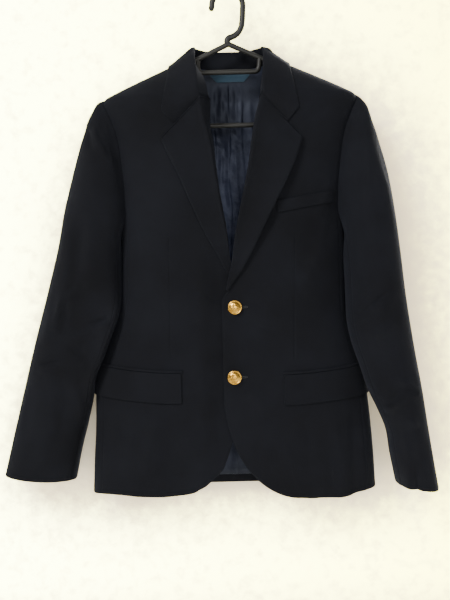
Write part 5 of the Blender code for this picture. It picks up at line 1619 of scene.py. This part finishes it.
def wall_material():
    """Pale plaster, seen only from the front and by no shadow ray, so that other views look through it.

    The camera sees it glow as if brightly lit, with a painted shade where the blazer stands between it and
    the window.
    """
    made, tree, shader = new_material("pale wall")
    shader.inputs["Base Color"].default_value = (0.86, 0.845, 0.79, 1.0)
    shader.inputs["Roughness"].default_value = 0.9
    place_on = add_node(tree, "ShaderNodeTexCoord").outputs["Object"]
    split = add_node(tree, "ShaderNodeSeparateXYZ")
    tree.links.new(place_on, split.inputs[0])
    across = add_node(tree, "ShaderNodeMapRange", None, {"From Min": WALL_FROM, "From Max": WALL_TO})
    tree.links.new(split.outputs["X"], across.inputs["Value"])
    light = vector_mix(tree, across.outputs[0], LIGHT_LEFT, LIGHT_RIGHT)

    shade = add_node(tree, "ShaderNodeAmbientOcclusion", {"samples": 12}, {"Distance": SHADE_REACH})
    toward = add_node(tree, "ShaderNodeCombineXYZ", None, TOWARD_WINDOW)
    tree.links.new(toward.outputs[0], shade.inputs["Normal"])
    grain = add_node(tree, "ShaderNodeTexNoise", None, {"Scale": GRAIN_SCALE, "Detail": 2.0})
    tree.links.new(place_on, grain.inputs["Vector"])
    relief = math_node(tree, "MULTIPLY_ADD", grain.outputs[0], GRAIN_SPAN)
    relief.node.inputs[2].default_value = -GRAIN_SPAN / 2
    opened = add_node(tree, "ShaderNodeMapRange", None, {"From Min": SHADE_FULL})
    tree.links.new(math_node(tree, "ADD", shade.outputs["AO"], relief), opened.inputs["Value"])
    lit = math_node(tree, "POWER", opened.outputs[0], SHADE_POWER)
    depth = math_node(tree, "POWER", math_node(tree, "DIVIDE", shade.outputs["AO"], SHADE_AT), 2.0)
    dim = add_node(tree, "ShaderNodeVectorMath", {"operation": "SCALE"}, {0: SHADE_COLOUR})
    tree.links.new(depth, dim.inputs["Scale"])

    path = add_node(tree, "ShaderNodeLightPath")
    glow = add_node(tree, "ShaderNodeEmission")
    tree.links.new(vector_mix(tree, lit, dim.outputs[0], light), glow.inputs["Color"])
    tree.links.new(path.outputs["Is Camera Ray"], glow.inputs["Strength"])
    both = add_node(tree, "ShaderNodeAddShader")
    tree.links.new(shader.outputs[0], both.inputs[0])
    tree.links.new(glow.outputs[0], both.inputs[1])
    backfacing = add_node(tree, "ShaderNodeNewGeometry").outputs["Backfacing"]
    mix = add_node(tree, "ShaderNodeMixShader")
    tree.links.new(math_node(tree, "MAXIMUM", backfacing, path.outputs["Is Shadow Ray"]), mix.inputs[0])
    tree.links.new(both.outputs[0], mix.inputs[1])
    tree.links.new(add_node(tree, "ShaderNodeBsdfTransparent").outputs[0], mix.inputs[2])
    tree.links.new(mix.outputs[0], tree.nodes["Material Output"].inputs["Surface"])
    return made


def add_plane(name, corners, made_of):
    mesh = bpy.data.meshes.new(name)
    mesh.from_pydata([tuple(MM * c for c in corner) for corner in corners], [], [(0, 1, 2, 3)])
    mesh.materials.append(made_of)
    thing = bpy.data.objects.new(name, mesh)
    bpy.context.scene.collection.objects.link(thing)


# Each light: its name, place and aim in metres, width, power and colour.
LIGHTS = (
    ("window_light", (-2.4, -2.9, 2.1), (0.0, 0.0, -0.4), 1.5, 172.0, (1.0, 0.99, 0.97)),
    ("room_light", (0.4, -2.9, -0.1), (0.0, 0.0, -0.3), 1.3, 26.0, (1.0, 0.98, 0.94)),
    ("rear_light", (1.7, 2.5, 1.4), (0.0, 0.0, -0.4), 2.0, 230.0, (1.0, 0.98, 0.95)),
)
DAYLIGHT, DAYLIGHT_STRENGTH = (1.0, 0.985, 0.95, 1.0), 0.28
CAMERA_AT = (-15.0, -1200.0, -460.0)
CAMERA_ROLL = -1.5  # degrees
FRAME_HEIGHT = 900.0  # of the view at the garment's middle plane


def add_light(name, at, to, size, power, colour):
    lamp = bpy.data.lights.new(name, "AREA")
    lamp.shape = "DISK"
    lamp.size = size
    lamp.energy = power
    lamp.color = colour
    thing = bpy.data.objects.new(name, lamp)
    bpy.context.scene.collection.objects.link(thing)
    thing.location = at
    thing.rotation_euler = (Vector(to) - Vector(at)).to_track_quat("-Z", "Y").to_euler()


def add_camera():
    camera = bpy.data.cameras.new("camera")
    camera.sensor_fit = "VERTICAL"
    camera.sensor_height = 24.0
    camera.lens = camera.sensor_height * -CAMERA_AT[1] / FRAME_HEIGHT
    camera.clip_start = 0.02
    thing = bpy.data.objects.new("camera", camera)
    bpy.context.scene.collection.objects.link(thing)
    thing.location = [MM * c for c in CAMERA_AT]
    thing.rotation_euler = (math.radians(90.0), 0.0, 0.0)
    thing.rotation_euler.rotate_axis("Z", math.radians(CAMERA_ROLL))
    bpy.context.scene.camera = thing


def build_stage():
    left, right = WALL_CENTRE[0] - WALL_HALF, WALL_CENTRE[0] + WALL_HALF
    low, high = FLOOR_Z, WALL_CENTRE[1] + WALL_HALF
    corners = [(x, WALL_Y, z) for x, z in ((left, low), (right, low), (right, high), (left, high))]
    add_plane("backdrop", corners, wall_material())
    floor, _, shader = new_material("pale floor")
    shader.inputs["Base Color"].default_value = (0.80, 0.79, 0.75, 1.0)
    shader.inputs["Roughness"].default_value = 0.85
    corners = [(x * FLOOR_HALF, y * FLOOR_HALF, FLOOR_Z) for x, y in ((-1, -1), (1, -1), (1, 1), (-1, 1))]
    add_plane("floor", corners, floor)
    world = bpy.data.worlds.new("soft daylight")
    world.use_nodes = True
    background = world.node_tree.nodes["Background"]
    background.inputs["Color"].default_value = DAYLIGHT
    background.inputs["Strength"].default_value = DAYLIGHT_STRENGTH
    bpy.context.scene.world = world
    for light in LIGHTS:
        add_light(*light)
    add_camera()


# ---------------------------------------------------------------- the whole

def main():
    groups = {"twill": twill_group(), "mottle": mottle_group()}
    wool, satin = wool_material(groups), satin_material(groups)
    gold, plastic, tape = gold_material(groups), plastic_material(groups), label_material(groups)
    thread = thread_material(groups)
    for side in (LEFT, RIGHT):
        build_front(side, wool, satin)
        build_side(side, wool, satin)
        build_back(side, wool, satin)
        build_sleeve(side, wool, satin)
        build_lapel(side, wool, satin)
        build_flap(side, wool, satin, build_jet(side, wool))
    build_collar(wool)
    build_welt(wool)
    build_lining(satin)
    build_label(tape)
    for name in BUTTONS:
        build_button(name, gold)
        build_buttonhole(name, thread)
    build_hanger(plastic)
    build_stage()


main()
